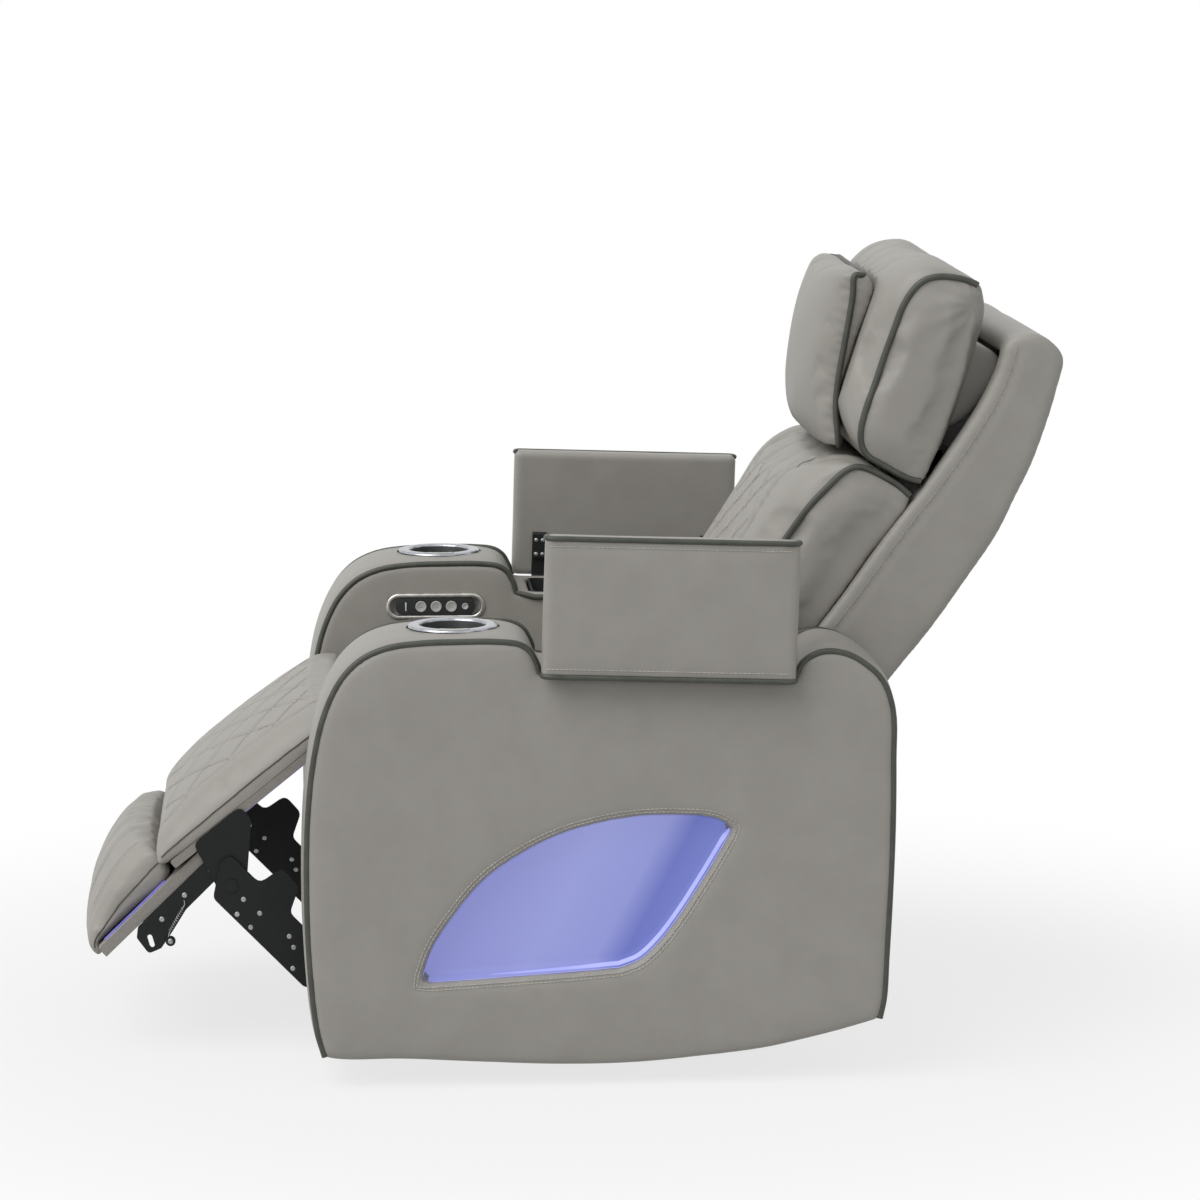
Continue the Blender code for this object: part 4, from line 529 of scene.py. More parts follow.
def resampled(line: Line, step: float) -> list[Vector]:
    """Points at even steps along a line."""
    spots, left = [line[0]], step
    for start, end in zip(line, line[1:]):
        length = (end - start).length
        along = left
        while along < length:
            spots.append(start.lerp(end, along / length))
            along += step
        left = along - length
    return spots


def moved_out(loop: Line, distances: Sequence[float] | float) -> list[Vector]:
    """Moves the points of a closed side-view loop along its outward normals.

    Args:
        loop: Points of equal X.
        distances: How far each one goes, or all of them.

    Returns:
        The moved points.
    """
    if isinstance(distances, float):
        distances = [distances] * len(loop)
    area = sum(loop[i - 1].y * loop[i].z - loop[i].y * loop[i - 1].z for i in range(len(loop)))
    sign = 1.0 if area > 0 else -1.0
    result = []
    for i, here in enumerate(loop):
        ahead = (loop[(i + 1) % len(loop)] - here).normalized() + (here - loop[i - 1]).normalized()
        normal = Vector((0.0, ahead.z, -ahead.y)).normalized() * sign
        result.append(here + normal * distances[i])
    return result


def outward(bm: Mesh) -> None:
    """Turns a closed mesh's faces outwards; the operator reads normals, so they are renewed first."""
    bm.normal_update()
    bmesh.ops.recalc_face_normals(bm, faces=bm.faces)


def skin(rings: Sequence[Line], capped: bool = True) -> Mesh:
    """Extrudes a closed ring from each place to the next, and fills both ends.

    Args:
        rings: Places of the ring's points, one list for each stop.
        capped: Whether the ends are filled.

    Returns:
        The closed mesh.
    """
    bm = bmesh.new()
    verts = [bm.verts.new(point) for point in rings[0]]
    edges = [bm.edges.new((verts[i - 1], verts[i])) for i in range(len(verts))]
    first = edges
    for ring in rings[1:]:
        bm.verts.index_update()
        order = {vert.co.copy().freeze(): i for i, vert in enumerate(verts)}
        made = bmesh.ops.extrude_edge_only(bm, edges=edges)["geom"]
        fresh = {item for item in made if isinstance(item, bmesh.types.BMVert)}
        edges = [item for item in made if isinstance(item, bmesh.types.BMEdge)
                 and fresh.issuperset(item.verts)]
        verts = [None] * len(ring)
        for vert in fresh:
            verts[order[vert.co.copy().freeze()]] = vert
        for vert, point in zip(verts, ring):
            vert.co = point
    if capped:
        for border in (first, edges):
            bmesh.ops.contextual_create(bm, geom=border)
    outward(bm)
    return bm


def prism(outline: Line, low_x: float, high_x: float) -> Mesh:
    """A side-view outline given a thickness along X."""
    return skin([[Vector((x, p.y, p.z)) for p in outline] for x in (low_x, high_x)])


def lathe(profile: Points, centre: Vector, axis: Vector, steps: int = 64) -> Mesh:
    """Spins a profile of (radius, height) about an axis through a centre.

    Args:
        profile: Points from the axis or back to it.
        centre: A point of the axis, where height is 0.
        axis: Its direction.
        steps: Steps of the full turn.

    Returns:
        The spun mesh.
    """
    bm = bmesh.new()
    verts = [bm.verts.new((radius, 0.0, height)) for radius, height in profile]
    edges = [bm.edges.new(pair) for pair in zip(verts, verts[1:])]
    bmesh.ops.spin(bm, geom=verts + edges, cent=(0, 0, 0), axis=(0, 0, 1), angle=2 * math.pi,
                   steps=steps, use_merge=True)
    bmesh.ops.remove_doubles(bm, verts=bm.verts, dist=1e-6)
    bm.transform(Matrix.Translation(centre) @ axis.to_track_quat("Z", "Y").to_matrix().to_4x4())
    outward(bm)
    return bm


def bar(size: Triple, place: Vector, turn: float = 0.0, bevel: float = 0.0,
        segments: int = 2, upright: bool = False) -> Mesh:
    """A block with rounded edges.

    Args:
        size: Its size along X, Y and Z before it is turned.
        place: Its middle.
        turn: Its turn about X, in degrees.
        bevel: How much is taken off its edges.
        segments: Steps of the rounding.
        upright: Whether only the upright edges are rounded.

    Returns:
        The block.
    """
    bm = bmesh.new()
    bmesh.ops.create_cube(bm, size=1.0)
    bmesh.ops.scale(bm, vec=size, verts=bm.verts)
    if bevel:
        edges = [edge for edge in bm.edges
                 if not upright or abs(edge.verts[0].co.z - edge.verts[1].co.z) > 0.5 * size[2]]
        bmesh.ops.bevel(bm, geom=edges, offset=bevel, segments=segments, profile=0.5,
                        affect="EDGES", material=-1)
    bmesh.ops.rotate(bm, verts=bm.verts, cent=(0, 0, 0),
                     matrix=Matrix.Rotation(math.radians(turn), 3, "X"))
    bmesh.ops.translate(bm, vec=place, verts=bm.verts)
    return bm


def shaded(mesh: bpy.types.Mesh, degrees: float) -> None:
    """Shades a mesh smooth; edges sharper than the angle stay crisp."""
    mesh.shade_smooth()
    mesh.set_sharp_from_angle(angle=math.radians(degrees))


def linked(name: str, data: bpy.types.ID) -> Piece:
    """A new object of some data, linked to the scene."""
    made = bpy.data.objects.new(name, data)
    bpy.context.scene.collection.objects.link(made)
    return made


def as_object(bm: Mesh, name: str, smooth_angle: float = 35.0) -> Piece:
    """Makes an object of a mesh and shades it smooth up to an angle.

    Args:
        bm: The mesh, which is freed.
        name: The object's name.
        smooth_angle: Sharper edges stay crisp.

    Returns:
        The object, linked to the scene.
    """
    mesh = bpy.data.meshes.new(name)
    bm.to_mesh(mesh)
    bm.free()
    shaded(mesh, smooth_angle)
    return linked(name, mesh)


def dress(piece: Piece, finish: Finish, body: str, nodes: Sequence[str] = ()) -> None:
    """Gives a piece its finish and its body, and hides the nodes that it stands for.

    Args:
        piece: The finished piece.
        finish: Its finish.
        body: The body that it rides on.
        nodes: Nodes that it stands for.
    """
    piece.data.materials.clear()
    piece.data.materials.append(finish.build())
    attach(piece, body)
    if nodes:
        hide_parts(*nodes)
    LOG.info("%s rides on %s", piece.name, body)


def upholster(piece: Piece, body: str, nodes: Sequence[str] = ()) -> None:
    """Covers a padded piece with the hide.

    Args:
        piece: The finished piece.
        body: The body that it rides on.
        nodes: Nodes that it stands for.
    """
    dress(piece, LEATHER, body, nodes)


def applied(piece: Piece) -> None:
    """Bakes a piece's modifiers into its mesh."""
    bpy.context.view_layer.update()
    shaped = piece.evaluated_get(bpy.context.evaluated_depsgraph_get())
    mesh = bpy.data.meshes.new_from_object(shaped)
    piece.modifiers.clear()
    old = piece.data
    piece.data = mesh
    bpy.data.meshes.remove(old)
    mesh.name = piece.name


def merged(name: str, meshes: Sequence[Mesh], smooth_angle: float = 35.0) -> Piece:
    """One object of several meshes.

    Args:
        name: The object's name.
        meshes: Closed meshes, which are freed.
        smooth_angle: Sharper edges stay crisp.

    Returns:
        The object.
    """
    whole = bmesh.new()
    for bm in meshes:
        part = bpy.data.meshes.new(name)
        bm.to_mesh(part)
        bm.free()
        whole.from_mesh(part)
        bpy.data.meshes.remove(part)
    return as_object(whole, name, smooth_angle)


def cut_with(piece: Piece, cutters: Sequence[Mesh]) -> None:
    """Subtracts closed meshes from a piece."""
    tools = []
    for bm in cutters:
        tool = as_object(bm, "cutter")
        change = piece.modifiers.new("cut", "BOOLEAN")
        change.object = tool
        change.solver = "EXACT"
        tools.append(tool)
    applied(piece)
    for tool in tools:
        bpy.data.objects.remove(tool)


def remeshed(piece: Piece, voxel: float) -> None:
    """Covers a closed piece with an even mesh, and softens its edges."""
    change = piece.modifiers.new("even", "REMESH")
    change.mode = "VOXEL"
    change.voxel_size = voxel
    change.use_smooth_shade = True
    applied(piece)
    bm = bmesh.new()
    bm.from_mesh(piece.data)
    for _ in range(SOFTENING_ROUNDS):
        bmesh.ops.smooth_vert(bm, verts=bm.verts, factor=0.5, use_axis_x=True, use_axis_y=True,
                              use_axis_z=True)
    bm.to_mesh(piece.data)
    bm.free()


def vertex_arrays(piece: Piece) -> tuple[Array, Array]:
    """A piece's vertex places and normals."""
    mesh = piece.data
    co = np.empty(len(mesh.vertices) * 3)
    mesh.vertices.foreach_get("co", co)
    normals = np.empty(len(mesh.vertices) * 3)
    mesh.vertices.foreach_get("normal", normals)
    return co.reshape(-1, 3), normals.reshape(-1, 3)


def set_places(piece: Piece, co: Array) -> None:
    """Writes vertex places back."""
    piece.data.vertices.foreach_set("co", co.ravel())
    piece.data.update()


def swell(piece: Piece, lift: Lift) -> None:
    """Moves each vertex along its normal by what lift gives for the places and normals."""
    co, normals = vertex_arrays(piece)
    set_places(piece, co + normals * lift(co, normals)[:, None])


def line_distance(co: Array, *lines: Line) -> Array:
    """Distance of each place to the nearest of some lines of points."""
    best = np.full(len(co), 1e9)
    for start, end in (span for line in lines for span in zip(line, line[1:])):
        a = np.array(start)
        d = np.array(end) - a
        t = np.clip(((co - a) @ d) / max(d @ d, 1e-12), 0.0, 1.0)
        best = np.minimum(best, np.linalg.norm(co - a - t[:, None] * d, axis=1))
    return best


def groove(distance: Array, depth: float, width: float) -> Array:
    """A sewn-in valley: deepest on the seam and gone a few widths off."""
    return -depth * np.exp(-(distance / width) ** 2)


def rumple(co: Array, size: float, height: float, stretch: Triple = (1, 1, 1),
           seed: float = 0.0) -> Array:
    """Soft random unevenness of a stuffed surface.

    Args:
        co: The places.
        size: Distance between hollows.
        height: Their height.
        stretch: How much the hollows are squeezed along each axis.
        seed: Moves the pattern.

    Returns:
        A displacement for each place.
    """
    scaled = co * np.array(stretch) / size + seed
    return np.array([noise.noise(Vector(p)) for p in scaled]) * height


def surface_tree(piece: Piece) -> BVHTree:
    """A search tree of a piece's surface."""
    mesh = piece.data
    return BVHTree.FromPolygons([v.co for v in mesh.vertices], [p.vertices for p in mesh.polygons])


def hugging(line: Line, tree: BVHTree, lift: float, rounds: int = 0) -> list[Vector]:
    """Lays a line on a surface, lifted by a small distance.

    Args:
        line: The points.
        tree: The surface.
        lift: Height above it.
        rounds: How often the laid points are evened out between their neighbours.

    Returns:
        The laid points.
    """
    laid = []
    for point in line:
        near, normal, _, _ = tree.find_nearest(point)
        laid.append(near + normal * lift)
    for _ in range(rounds):
        laid[1:-1] = [(a + b * 2 + c) / 4 for a, b, c in zip(laid, laid[1:], laid[2:])]
    return laid


def tubes(name: str, lines: Sequence[Line], radius: float, finish: Finish, body: str,
          resolution: int = 3) -> None:
    """Round cord along each line, as one dressed piece.

    Args:
        name: The piece's name.
        lines: Centre lines.
        radius: The cord's radius.
        finish: Its finish.
        body: The body that it rides on.
        resolution: Roundness of the cord.
    """
    curve = bpy.data.curves.new(name, "CURVE")
    curve.dimensions = "3D"
    curve.bevel_depth = radius
    curve.bevel_resolution = resolution
    curve.use_fill_caps = True
    for line in lines:
        spline = curve.splines.new("POLY")
        spline.points.add(len(line) - 1)
        spline.points.foreach_set("co", [c for point in line for c in (*point, 1.0)])
    guide = linked(name + "_guide", curve)
    bpy.context.view_layer.update()
    mesh = bpy.data.meshes.new_from_object(guide.evaluated_get(bpy.context.evaluated_depsgraph_get()))
    bpy.data.objects.remove(guide)
    mesh.name = name
    shaded(mesh, 50)
    dress(linked(name, mesh), finish, body)


def laid_welts(name: str, lines: Sequence[Line], pad: Piece, body: str, radius: float = 0.0046) -> None:
    """Piping laid on a pad along its seams, half sunk into the hide.

    Args:
        name: The piece's name.
        lines: The seams.
        pad: The pad.
        body: The body that both ride on.
        radius: The piping's radius.
    """
    tree = surface_tree(pad)
    tubes(name, [hugging(line, tree, WELT_LIFT, WELT_ROUNDS) for line in lines], radius, PIPING, body)


def laid_crease_shade(name: str, lines: Sequence[Line], tree: BVHTree, body: str, lift: float,
                radius: float, step: float = 0.006) -> None:
    """A dark cord laid along seam lines of a surface: painted shade in the seam's crease.

    Args:
        name: The piece's name.
        lines: The seams.
        tree: The surface.
        body: The body that the surface rides on.
        lift: Height above the surface.
        radius: The cord's radius.
        step: From one point of the cord to the next.
    """
    laid = [hugging(resampled(line, step), tree, lift) for line in lines]
    tubes(name, laid, radius, CREASE_SHADE_CORD, body, 2 if radius > 0.001 else 1)


@dataclass(frozen=True)
class Stitch:
    """The size of a machine stitch."""

    pitch: float                # from one stitch to the next
    length: float               # the part that shows
    radius: float = 0.0005      # of the thread

    def sew(self, name: str, lines: Sequence[Line], tree: BVHTree, body: str) -> None:
        """Rows of stitches lying on a surface: each one dives in at both ends.

        Args:
            name: The piece's name.
            lines: Seam lines near the surface.
            tree: The surface.
            body: The body that the surface rides on.
        """
        threads = []
        for line in lines:
            spots = resampled(line, self.pitch)
            for start, after in zip(spots, spots[1:]):
                step = (after - start).normalized() * self.length
                top = hugging([start + step * share for share in (0.06, 0.5, 0.94)], tree,
                              self.radius * 0.5)
                ends = hugging([start, start + step], tree, -self.radius * 1.6)
                threads.append([ends[0], *top, ends[1]])
        tubes(name, threads, self.radius, THREAD, body, resolution=1)


TOPSTITCH = Stitch(0.0062, 0.0042, 0.0008)
SHELL_STITCH = Stitch(0.0060, 0.0040)
CHANNEL_STITCH = Stitch(0.0072, 0.0046)
QUILT_STITCH = Stitch(0.0075, 0.0048)
BACK_STITCH = Stitch(0.0078, 0.0050)


# Padded pieces


@dataclass(frozen=True)
class PaddedForm:
    """A stuffed piece: a seam outline at its sides, a fuller outline at its middle."""

    name: str
    body: str
    nodes: tuple[str, ...]
    frame: SideFrame
    side: Points
    centre: Points
    half_width: float
    voxel: float                # size of the even mesh
    cap: float                  # most that the air moves the cover
    fill: float                 # how full the filling is
    keep: Callable[[Array, Array], tuple[Array, Array]]     # holds run and rise off what it rests on
    power: float = 2.4          # how squarely it fills out from its sides
    edge: float = 0.006         # how far the side seams draw in
    pressure: float = 4.0

    def rings(self) -> list[list[Vector]]:
        """The outlines from the right side seam to the left one."""
        side = smooth_line([Vector((0, *p)) for p in self.side], 4, closed=True)
        centre = smooth_line([Vector((0, *p)) for p in self.centre], 4, closed=True)
        stations = [1.0, 0.992, 0.975, 0.94, 0.89, 0.82, 0.72, 0.60, 0.45, 0.30, 0.15]
        stations = [-s for s in stations] + [0.0] + stations[::-1]
        rings = []
        for station in stations:
            reach = min(1.0, abs(station) / 0.992)
            share = (1 - reach ** self.power) ** (1 / self.power)
            ring = [a.lerp(b, share) for a, b in zip(side, centre)]
            if abs(station) == 1.0:
                ring = moved_out(ring, -self.edge)
            rings.append([self.frame.at(station * self.half_width, p.y, p.z) for p in ring])
        return rings

    def blown(self, piece: Piece) -> None:
        """Fills the cover with air, so that it stretches as a stuffed one does.

        Args:
            piece: The evenly meshed piece.
        """
        start, _ = vertex_arrays(piece)
        change = piece.modifiers.new("air", "CLOTH")
        cloth = change.settings
        cloth.quality = 4
        cloth.mass = 0.4
        cloth.tension_stiffness = 12
        cloth.compression_stiffness = 12
        cloth.bending_stiffness = 0.8
        cloth.use_pressure = True
        cloth.uniform_pressure_force = self.pressure
        cloth.effector_weights.gravity = 0.0
        scene = bpy.context.scene
        for frame in range(1, AIR_FRAMES + 1):
            scene.frame_set(frame)
        applied(piece)
        scene.frame_set(1)
        co, _ = vertex_arrays(piece)
        move = co - start
        length = np.linalg.norm(move, axis=1)
        share = np.minimum(1.0, self.cap / np.maximum(length, 1e-9))
        set_places(piece, start + move * share[:, None])

    def held(self, piece: Piece) -> None:
        """Keeps the piece off what it rests on."""
        co, _ = vertex_arrays(piece)
        set_places(piece, self.frame.joined(co[:, 0], *self.keep(*self.frame.split(co))))

    def build(self, sewn: Lift) -> Piece:
        """Makes the piece: shell, even mesh, air, then the seams and folds.

        Args:
            sewn: The displacement of seams and folds.

        Returns:
            The dressed piece.
        """
        piece = as_object(skin(self.rings()), self.name)
        remeshed(piece, self.voxel)
        self.blown(piece)
        self.held(piece)
        smoother = piece.modifiers.new("soft", "SUBSURF")
        smoother.levels = smoother.render_levels = 1
        applied(piece)
        swell(piece, sewn)
        self.held(piece)
        piece.data.shade_smooth()
        upholster(piece, self.body, self.nodes)
        return piece

    def seams(self, first: int, last: int) -> list[list[Vector]]:
        """The side outline between two of its points, on the left and on the right.

        Args:
            first: First point of the lines.
            last: Last one.

        Returns:
            Both lines.
        """
        return [smooth_line(self.frame.line(sign * self.half_width, self.side[first:last + 1]))
                for sign in (1, -1)]


@dataclass(frozen=True)
class Quilting:
    """A panel of diamond quilting across the middle of a padded piece."""

    frame: SideFrame
    pitch: Point                # a diamond's width across and along
    half: float                 # half width of the panel
    start: float                # where it begins along the run
    end: float                  # where it ends
    fade: float = 0.006         # over which the valleys end
    valley: float = 0.0045      # width of a stitched valley

    def relief(self, co: Array, depth: float) -> Array:
        """The stitched valleys.

        Args:
            co: The places.
            depth: Depth of the valleys.

        Returns:
            A displacement for each place.
        """
        run, _ = self.frame.split(co)
        across, along = co[:, 0] / self.pitch[0], run / self.pitch[1]
        first, second = (np.abs(turns - np.round(turns)) * self.pitch[0] * 0.7
                         for turns in (across + along, across - along))
        inside = np.clip((self.half - np.abs(co[:, 0])) / self.fade, 0, 1)
        inside = (inside * np.clip((run - self.start) / self.fade, 0, 1)
                  * np.clip((self.end - run) / self.fade, 0, 1))
        return inside * (groove(first, depth, self.valley) + groove(second, depth, self.valley))

    def lines(self, rise: float) -> list[list[Vector]]:
        """The stitched lines.

        Args:
            rise: Height that they are laid down from.

        Returns:
            Straight lines of points.
        """
        lines = []
        reach = int(self.half / self.pitch[0] + abs(self.end) / self.pitch[1]) + 2
        runs = [self.start + (self.end - self.start) * i / 80 for i in range(81)]
        for sign in (1, -1):
            for number in range(-reach, reach + 1):
                spots = [(sign * (number - run / self.pitch[1]) * self.pitch[0], run) for run in runs]
                line = [self.frame.at(x, run, rise) for x, run in spots if abs(x) < self.half]
                if len(line) > 6:
                    lines.append(line)
        return lines


# Arms


CUP_Y = -0.169                  # the cup wells' middle
CUP_SEAT = 0.6263               # the arm's top there
PAD_CENTRE = (-0.177, 0.555)    # the control pad's middle on the right arm's inner face


@dataclass
class Arm:
    """A padded arm: two piped side panels, a band between them, a deck, a cup well and a lit leaf."""

    side: Side
    inner_x: float = 0.275
    outer_x: float = 0.470
    bulge: float = 0.008
    welt: float = 0.0046
    front: Points = ((-0.3495, 0.045), (-0.3585, 0.077), (-0.3675, 0.155), (-0.372, 0.266),
                     (-0.3695, 0.377), (-0.3605, 0.460), (-0.3455, 0.522), (-0.3235, 0.567),
                     (-0.2975, 0.594), (-0.2635, 0.610), (-0.2165, 0.617), (-0.1625, 0.6185),
                     (-0.108, 0.618), (-0.0805, 0.614), (-0.0675, 0.605), (-0.061, 0.594),
                     (-0.057, 0.585), (-0.056, 0.574))
    rear: Points = ((0.2948, 0.563), (0.2985, 0.5765), (0.3065, 0.588), (0.3295, 0.600),
                    (0.3615, 0.598), (0.3885, 0.584), (0.4135, 0.560), (0.4275, 0.522),
                    (0.4295, 0.451), (0.4295, 0.353), (0.4265, 0.2555), (0.4225, 0.171),
                    (0.4195, 0.115), (0.414, 0.088))
    foot: Points = ((0.414, 0.088), (0.3585, 0.072), (0.3035, 0.059), (0.2485, 0.048),
                    (0.1655, 0.038), (0.0825, 0.031), (-0.0275, 0.030), (-0.1375, 0.035),
                    (-0.247, 0.0405), (-0.336, 0.042), (-0.3495, 0.045))
    stations: Points = ((0.0, -0.0045), (0.0012, -0.0015), (0.0036, 0.0), (0.0070, 0.0),
                        (0.0110, 0.0024), (0.0200, 0.0050), (0.0360, 0.0074), (0.0600, 0.0080))
    leaf_top: Points = ((-0.219, 0.147), (-0.2025, 0.194), (-0.1705, 0.243), (-0.1295, 0.291),
                        (-0.0815, 0.325), (-0.0275, 0.352), (0.0275, 0.368), (0.0825, 0.376),
                        (0.1365, 0.3765), (0.1845, 0.372), (0.2095, 0.360))
    leaf_rear: Points = ((0.2095, 0.360), (0.2025, 0.345), (0.1855, 0.315), (0.1645, 0.280),
                         (0.1375, 0.238), (0.1095, 0.201), (0.0825, 0.176), (0.055, 0.165))
    leaf_foot: Points = ((0.055, 0.165), (0.0, 0.1605), (-0.0825, 0.155), (-0.1645, 0.150),
                         (-0.219, 0.147))
    leaf_depth: float = 0.030
    lip: float = 0.0070

    def edge(self, points: Points, x: float = 0.0) -> list[Vector]:
        """A smooth run of the outline."""
        return smooth_line(LEVEL.line(x, points), 5)

    def outline(self) -> tuple[list[Vector], list[float]]:
        """The panel outline, and how much of the band's bulge each point takes."""
        front, rear, foot = (self.edge(run) for run in (self.front, self.rear, self.foot))
        deck = [front[-1].lerp(rear[0], i / 30) for i in range(1, 30)]
        loop = front + deck + rear[:-1] + foot[:-1]
        fade = [max(0.0, min(1.0, (-0.062 - p.y) / 0.05)) for p in front]
        rise = [max(0.0, min(1.0, (p.y - 0.2948) / 0.045)) for p in rear[:-1]]
        return loop, fade + [0.0] * len(deck) + rise + [0.6] * (len(foot) - 1)

    def leaf(self) -> list[Vector]:
        """The leaf's closed outline."""
        runs = (self.leaf_top, self.leaf_rear, self.leaf_foot)
        return [p for run in runs for p in self.edge(run)[:-1]]

    def shell(self) -> Piece:
        """The arm's padded body before its holes are cut."""
        loop, shares = self.outline()
        rings = []
        middle = (self.outer_x + self.inner_x) / 2
        places = [(self.outer_x - depth, rise) for depth, rise in self.stations]
        places += [(middle, self.bulge + 0.0006)]
        places += [(self.inner_x + depth, rise) for depth, rise in reversed(self.stations)]
        for x, rise in places:
            ring = moved_out(loop, [rise * (share if rise > 0 else 1.0) for share in shares])
            rings.append([Vector((self.side.value * x, p.y, p.z)) for p in ring])
        return as_object(skin(rings), "arm_cover_" + self.side.word)

    def cutters(self) -> list[Mesh]:
        """What is let into the arm: the cup well, the bin and the leaf."""
        centre = self.side.value * (self.outer_x + self.inner_x) / 2
        well = lathe(((0.0, -0.07), (0.0475, -0.07), (0.0475, 0.03), (0.0, 0.03)),
                     Vector((centre, CUP_Y, CUP_SEAT)), UP)
        pit = bar((0.147, 0.301, 0.17), DECK.at(centre, 0.1755, -0.035), bevel=0.014, segments=6,
                  upright=True)
        low, high = sorted((self.side.value * (self.outer_x - self.leaf_depth), self.side.value * 0.5))
        return [well, pit, prism(self.leaf(), low, high)]

    def build(self) -> None:
        """Makes the cover, its welts, the leaf's light and its stitching."""
        cover = self.shell()
        cut_with(cover, self.cutters())
        remeshed(cover, 0.0052)
        loop, _ = self.outline()
        loop += loop[:1]
        leaf = self.leaf()
        ring = leaf + leaf[:1]
        sign = self.side.value

        def padding(co: Array, normals: Array) -> Array:
            """The outer panel swells from its welt and tucks in round the leaf."""
            flat = np.stack((np.zeros(len(co)), co[:, 1], co[:, 2]), axis=1)
            to_edge = line_distance(flat, loop)
            to_leaf = line_distance(flat, ring)
            outer = (normals[:, 0] * sign > 0.8) & (co[:, 0] * sign > self.outer_x - 0.004)
            inner = (normals[:, 0] * sign < -0.8) & (co[:, 2] > 0.47)
            puff = 0.0046 * (1 - np.exp(-to_edge / 0.022)) * (1 - 0.6 * np.exp(-to_leaf / 0.010))
            move = np.where(outer, puff + groove(to_leaf - 0.009, 0.0010, 0.003), 0.0)
            move += np.where(inner, 0.0012 * (1 - np.exp(-to_edge / 0.02)), 0.0)
            under_pad = ((np.abs(co[:, 1] - PAD_CENTRE[0]) < 0.068)
                         & (np.abs(co[:, 2] - PAD_CENTRE[1]) < 0.014))
            move = np.where(inner & under_pad & (self.side is Side.RIGHT), -0.0040, move)
            band = np.abs(normals[:, 0]) < 0.6
            return move + np.where(outer | inner | band, rumple(co, 0.11, 0.0007, seed=sign), 0.0)

        swell(cover, padding)
        cover.data.shade_smooth()
        upholster(cover, "base", ("arm_" + self.side.word,))
        self.welts()
        rows = []
        for off in (0.0058, 0.0102):
            row = [Vector((sign * (self.outer_x + 0.003), *p.yz)) for p in moved_out(leaf, off)]
            rows.append(row + row[:1])
        TOPSTITCH.sew("leaf_stitching_" + self.side.word, rows, surface_tree(cover), "base")
        self.light()

    def welts(self) -> None:
        """The welts round both panels: the outer one stops at the lid's hinges."""
        outer = self.side.value * (self.outer_x - 0.0042)
        inner = self.side.value * (self.inner_x + 0.0042)
        lines = [self.edge(run, outer) for run in (self.front, self.rear)]
        front, rear = self.edge(self.front, inner), self.edge(self.rear, inner)
        under = Vector((-self.side.value * 0.0062, 0.0, -0.0055))       # the closed lid lies above it
        deck = [front[-1].lerp(rear[0], i / 24) + under * min(1.0, i / 2, (24 - i) / 2)
                for i in range(1, 24)]
        lines.append(front + deck + rear)
        raised = [[p + UP * 0.0004 for p in line] for line in lines]
        tubes("arm_welts_" + self.side.word, raised, self.welt, PIPING, "base")

    def light(self) -> None:
        """The frosted dish in the leaf: a flat floor that turns up into a thin lip."""
        leaf = self.leaf()
        tips = [LEVEL.at(0.0, *run[0]) for run in (self.leaf_top, self.leaf_rear)]
        shares = [min(1.0, 0.15 + min((p - tip).length for tip in tips) / 0.035) for p in leaf]
        sign = self.side.value
        floor = self.outer_x - self.leaf_depth + 0.0034
        profile = ((-0.0006, floor - 0.0028), (-0.0006, self.outer_x - 0.0052),
                   (-0.0016, self.outer_x - 0.0040), (-0.0026, self.outer_x - 0.0060),
                   (-0.0036, floor + 0.008), (-0.0060, floor + 0.002), (-0.0110, floor),
                   (-0.0118, floor))
        rings = []
        for inset, x in profile:
            ring = moved_out(leaf, [inset * share for share in shares])
            rings.append([Vector((sign * x, *p.yz)) for p in ring])
        piece = as_object(skin(rings), "leaf_light_" + self.side.word)
        dress(piece, ACRYLIC, "base", ("light_panel_" + self.side.word,))
        self.painted_rim_bevel()

    def painted_rim_bevel(self) -> None:
        """Painted highlight: a glowing bevel on the leaf's rear and lower recess walls, fading out at
        both ends.
        """
        line = self.edge(self.leaf_rear) + self.edge(self.leaf_foot)[1:]
        sign = self.side.value
        rings = []
        for i in range(1, len(line) - 1):
            ahead = (line[i + 1] - line[i - 1]).normalized()
            inward = Vector((0.0, ahead.z, -ahead.y))
            share = i / (len(line) - 1)
            width = self.lip * min(1.0, share / 0.10, (1.02 - share) / 0.35)
            rings.append([Vector((sign * (self.outer_x + x), *(line[i] + inward * width * w).yz))
                          for x, w in ((-0.0040, 0.0), (-0.0125, 1.0), (-0.0145, 1.0), (-0.0145, 0.0))])
        dress(as_object(skin(rings), "leaf_edge_" + self.side.word), PAINTED_RIM_LIGHT, "base")


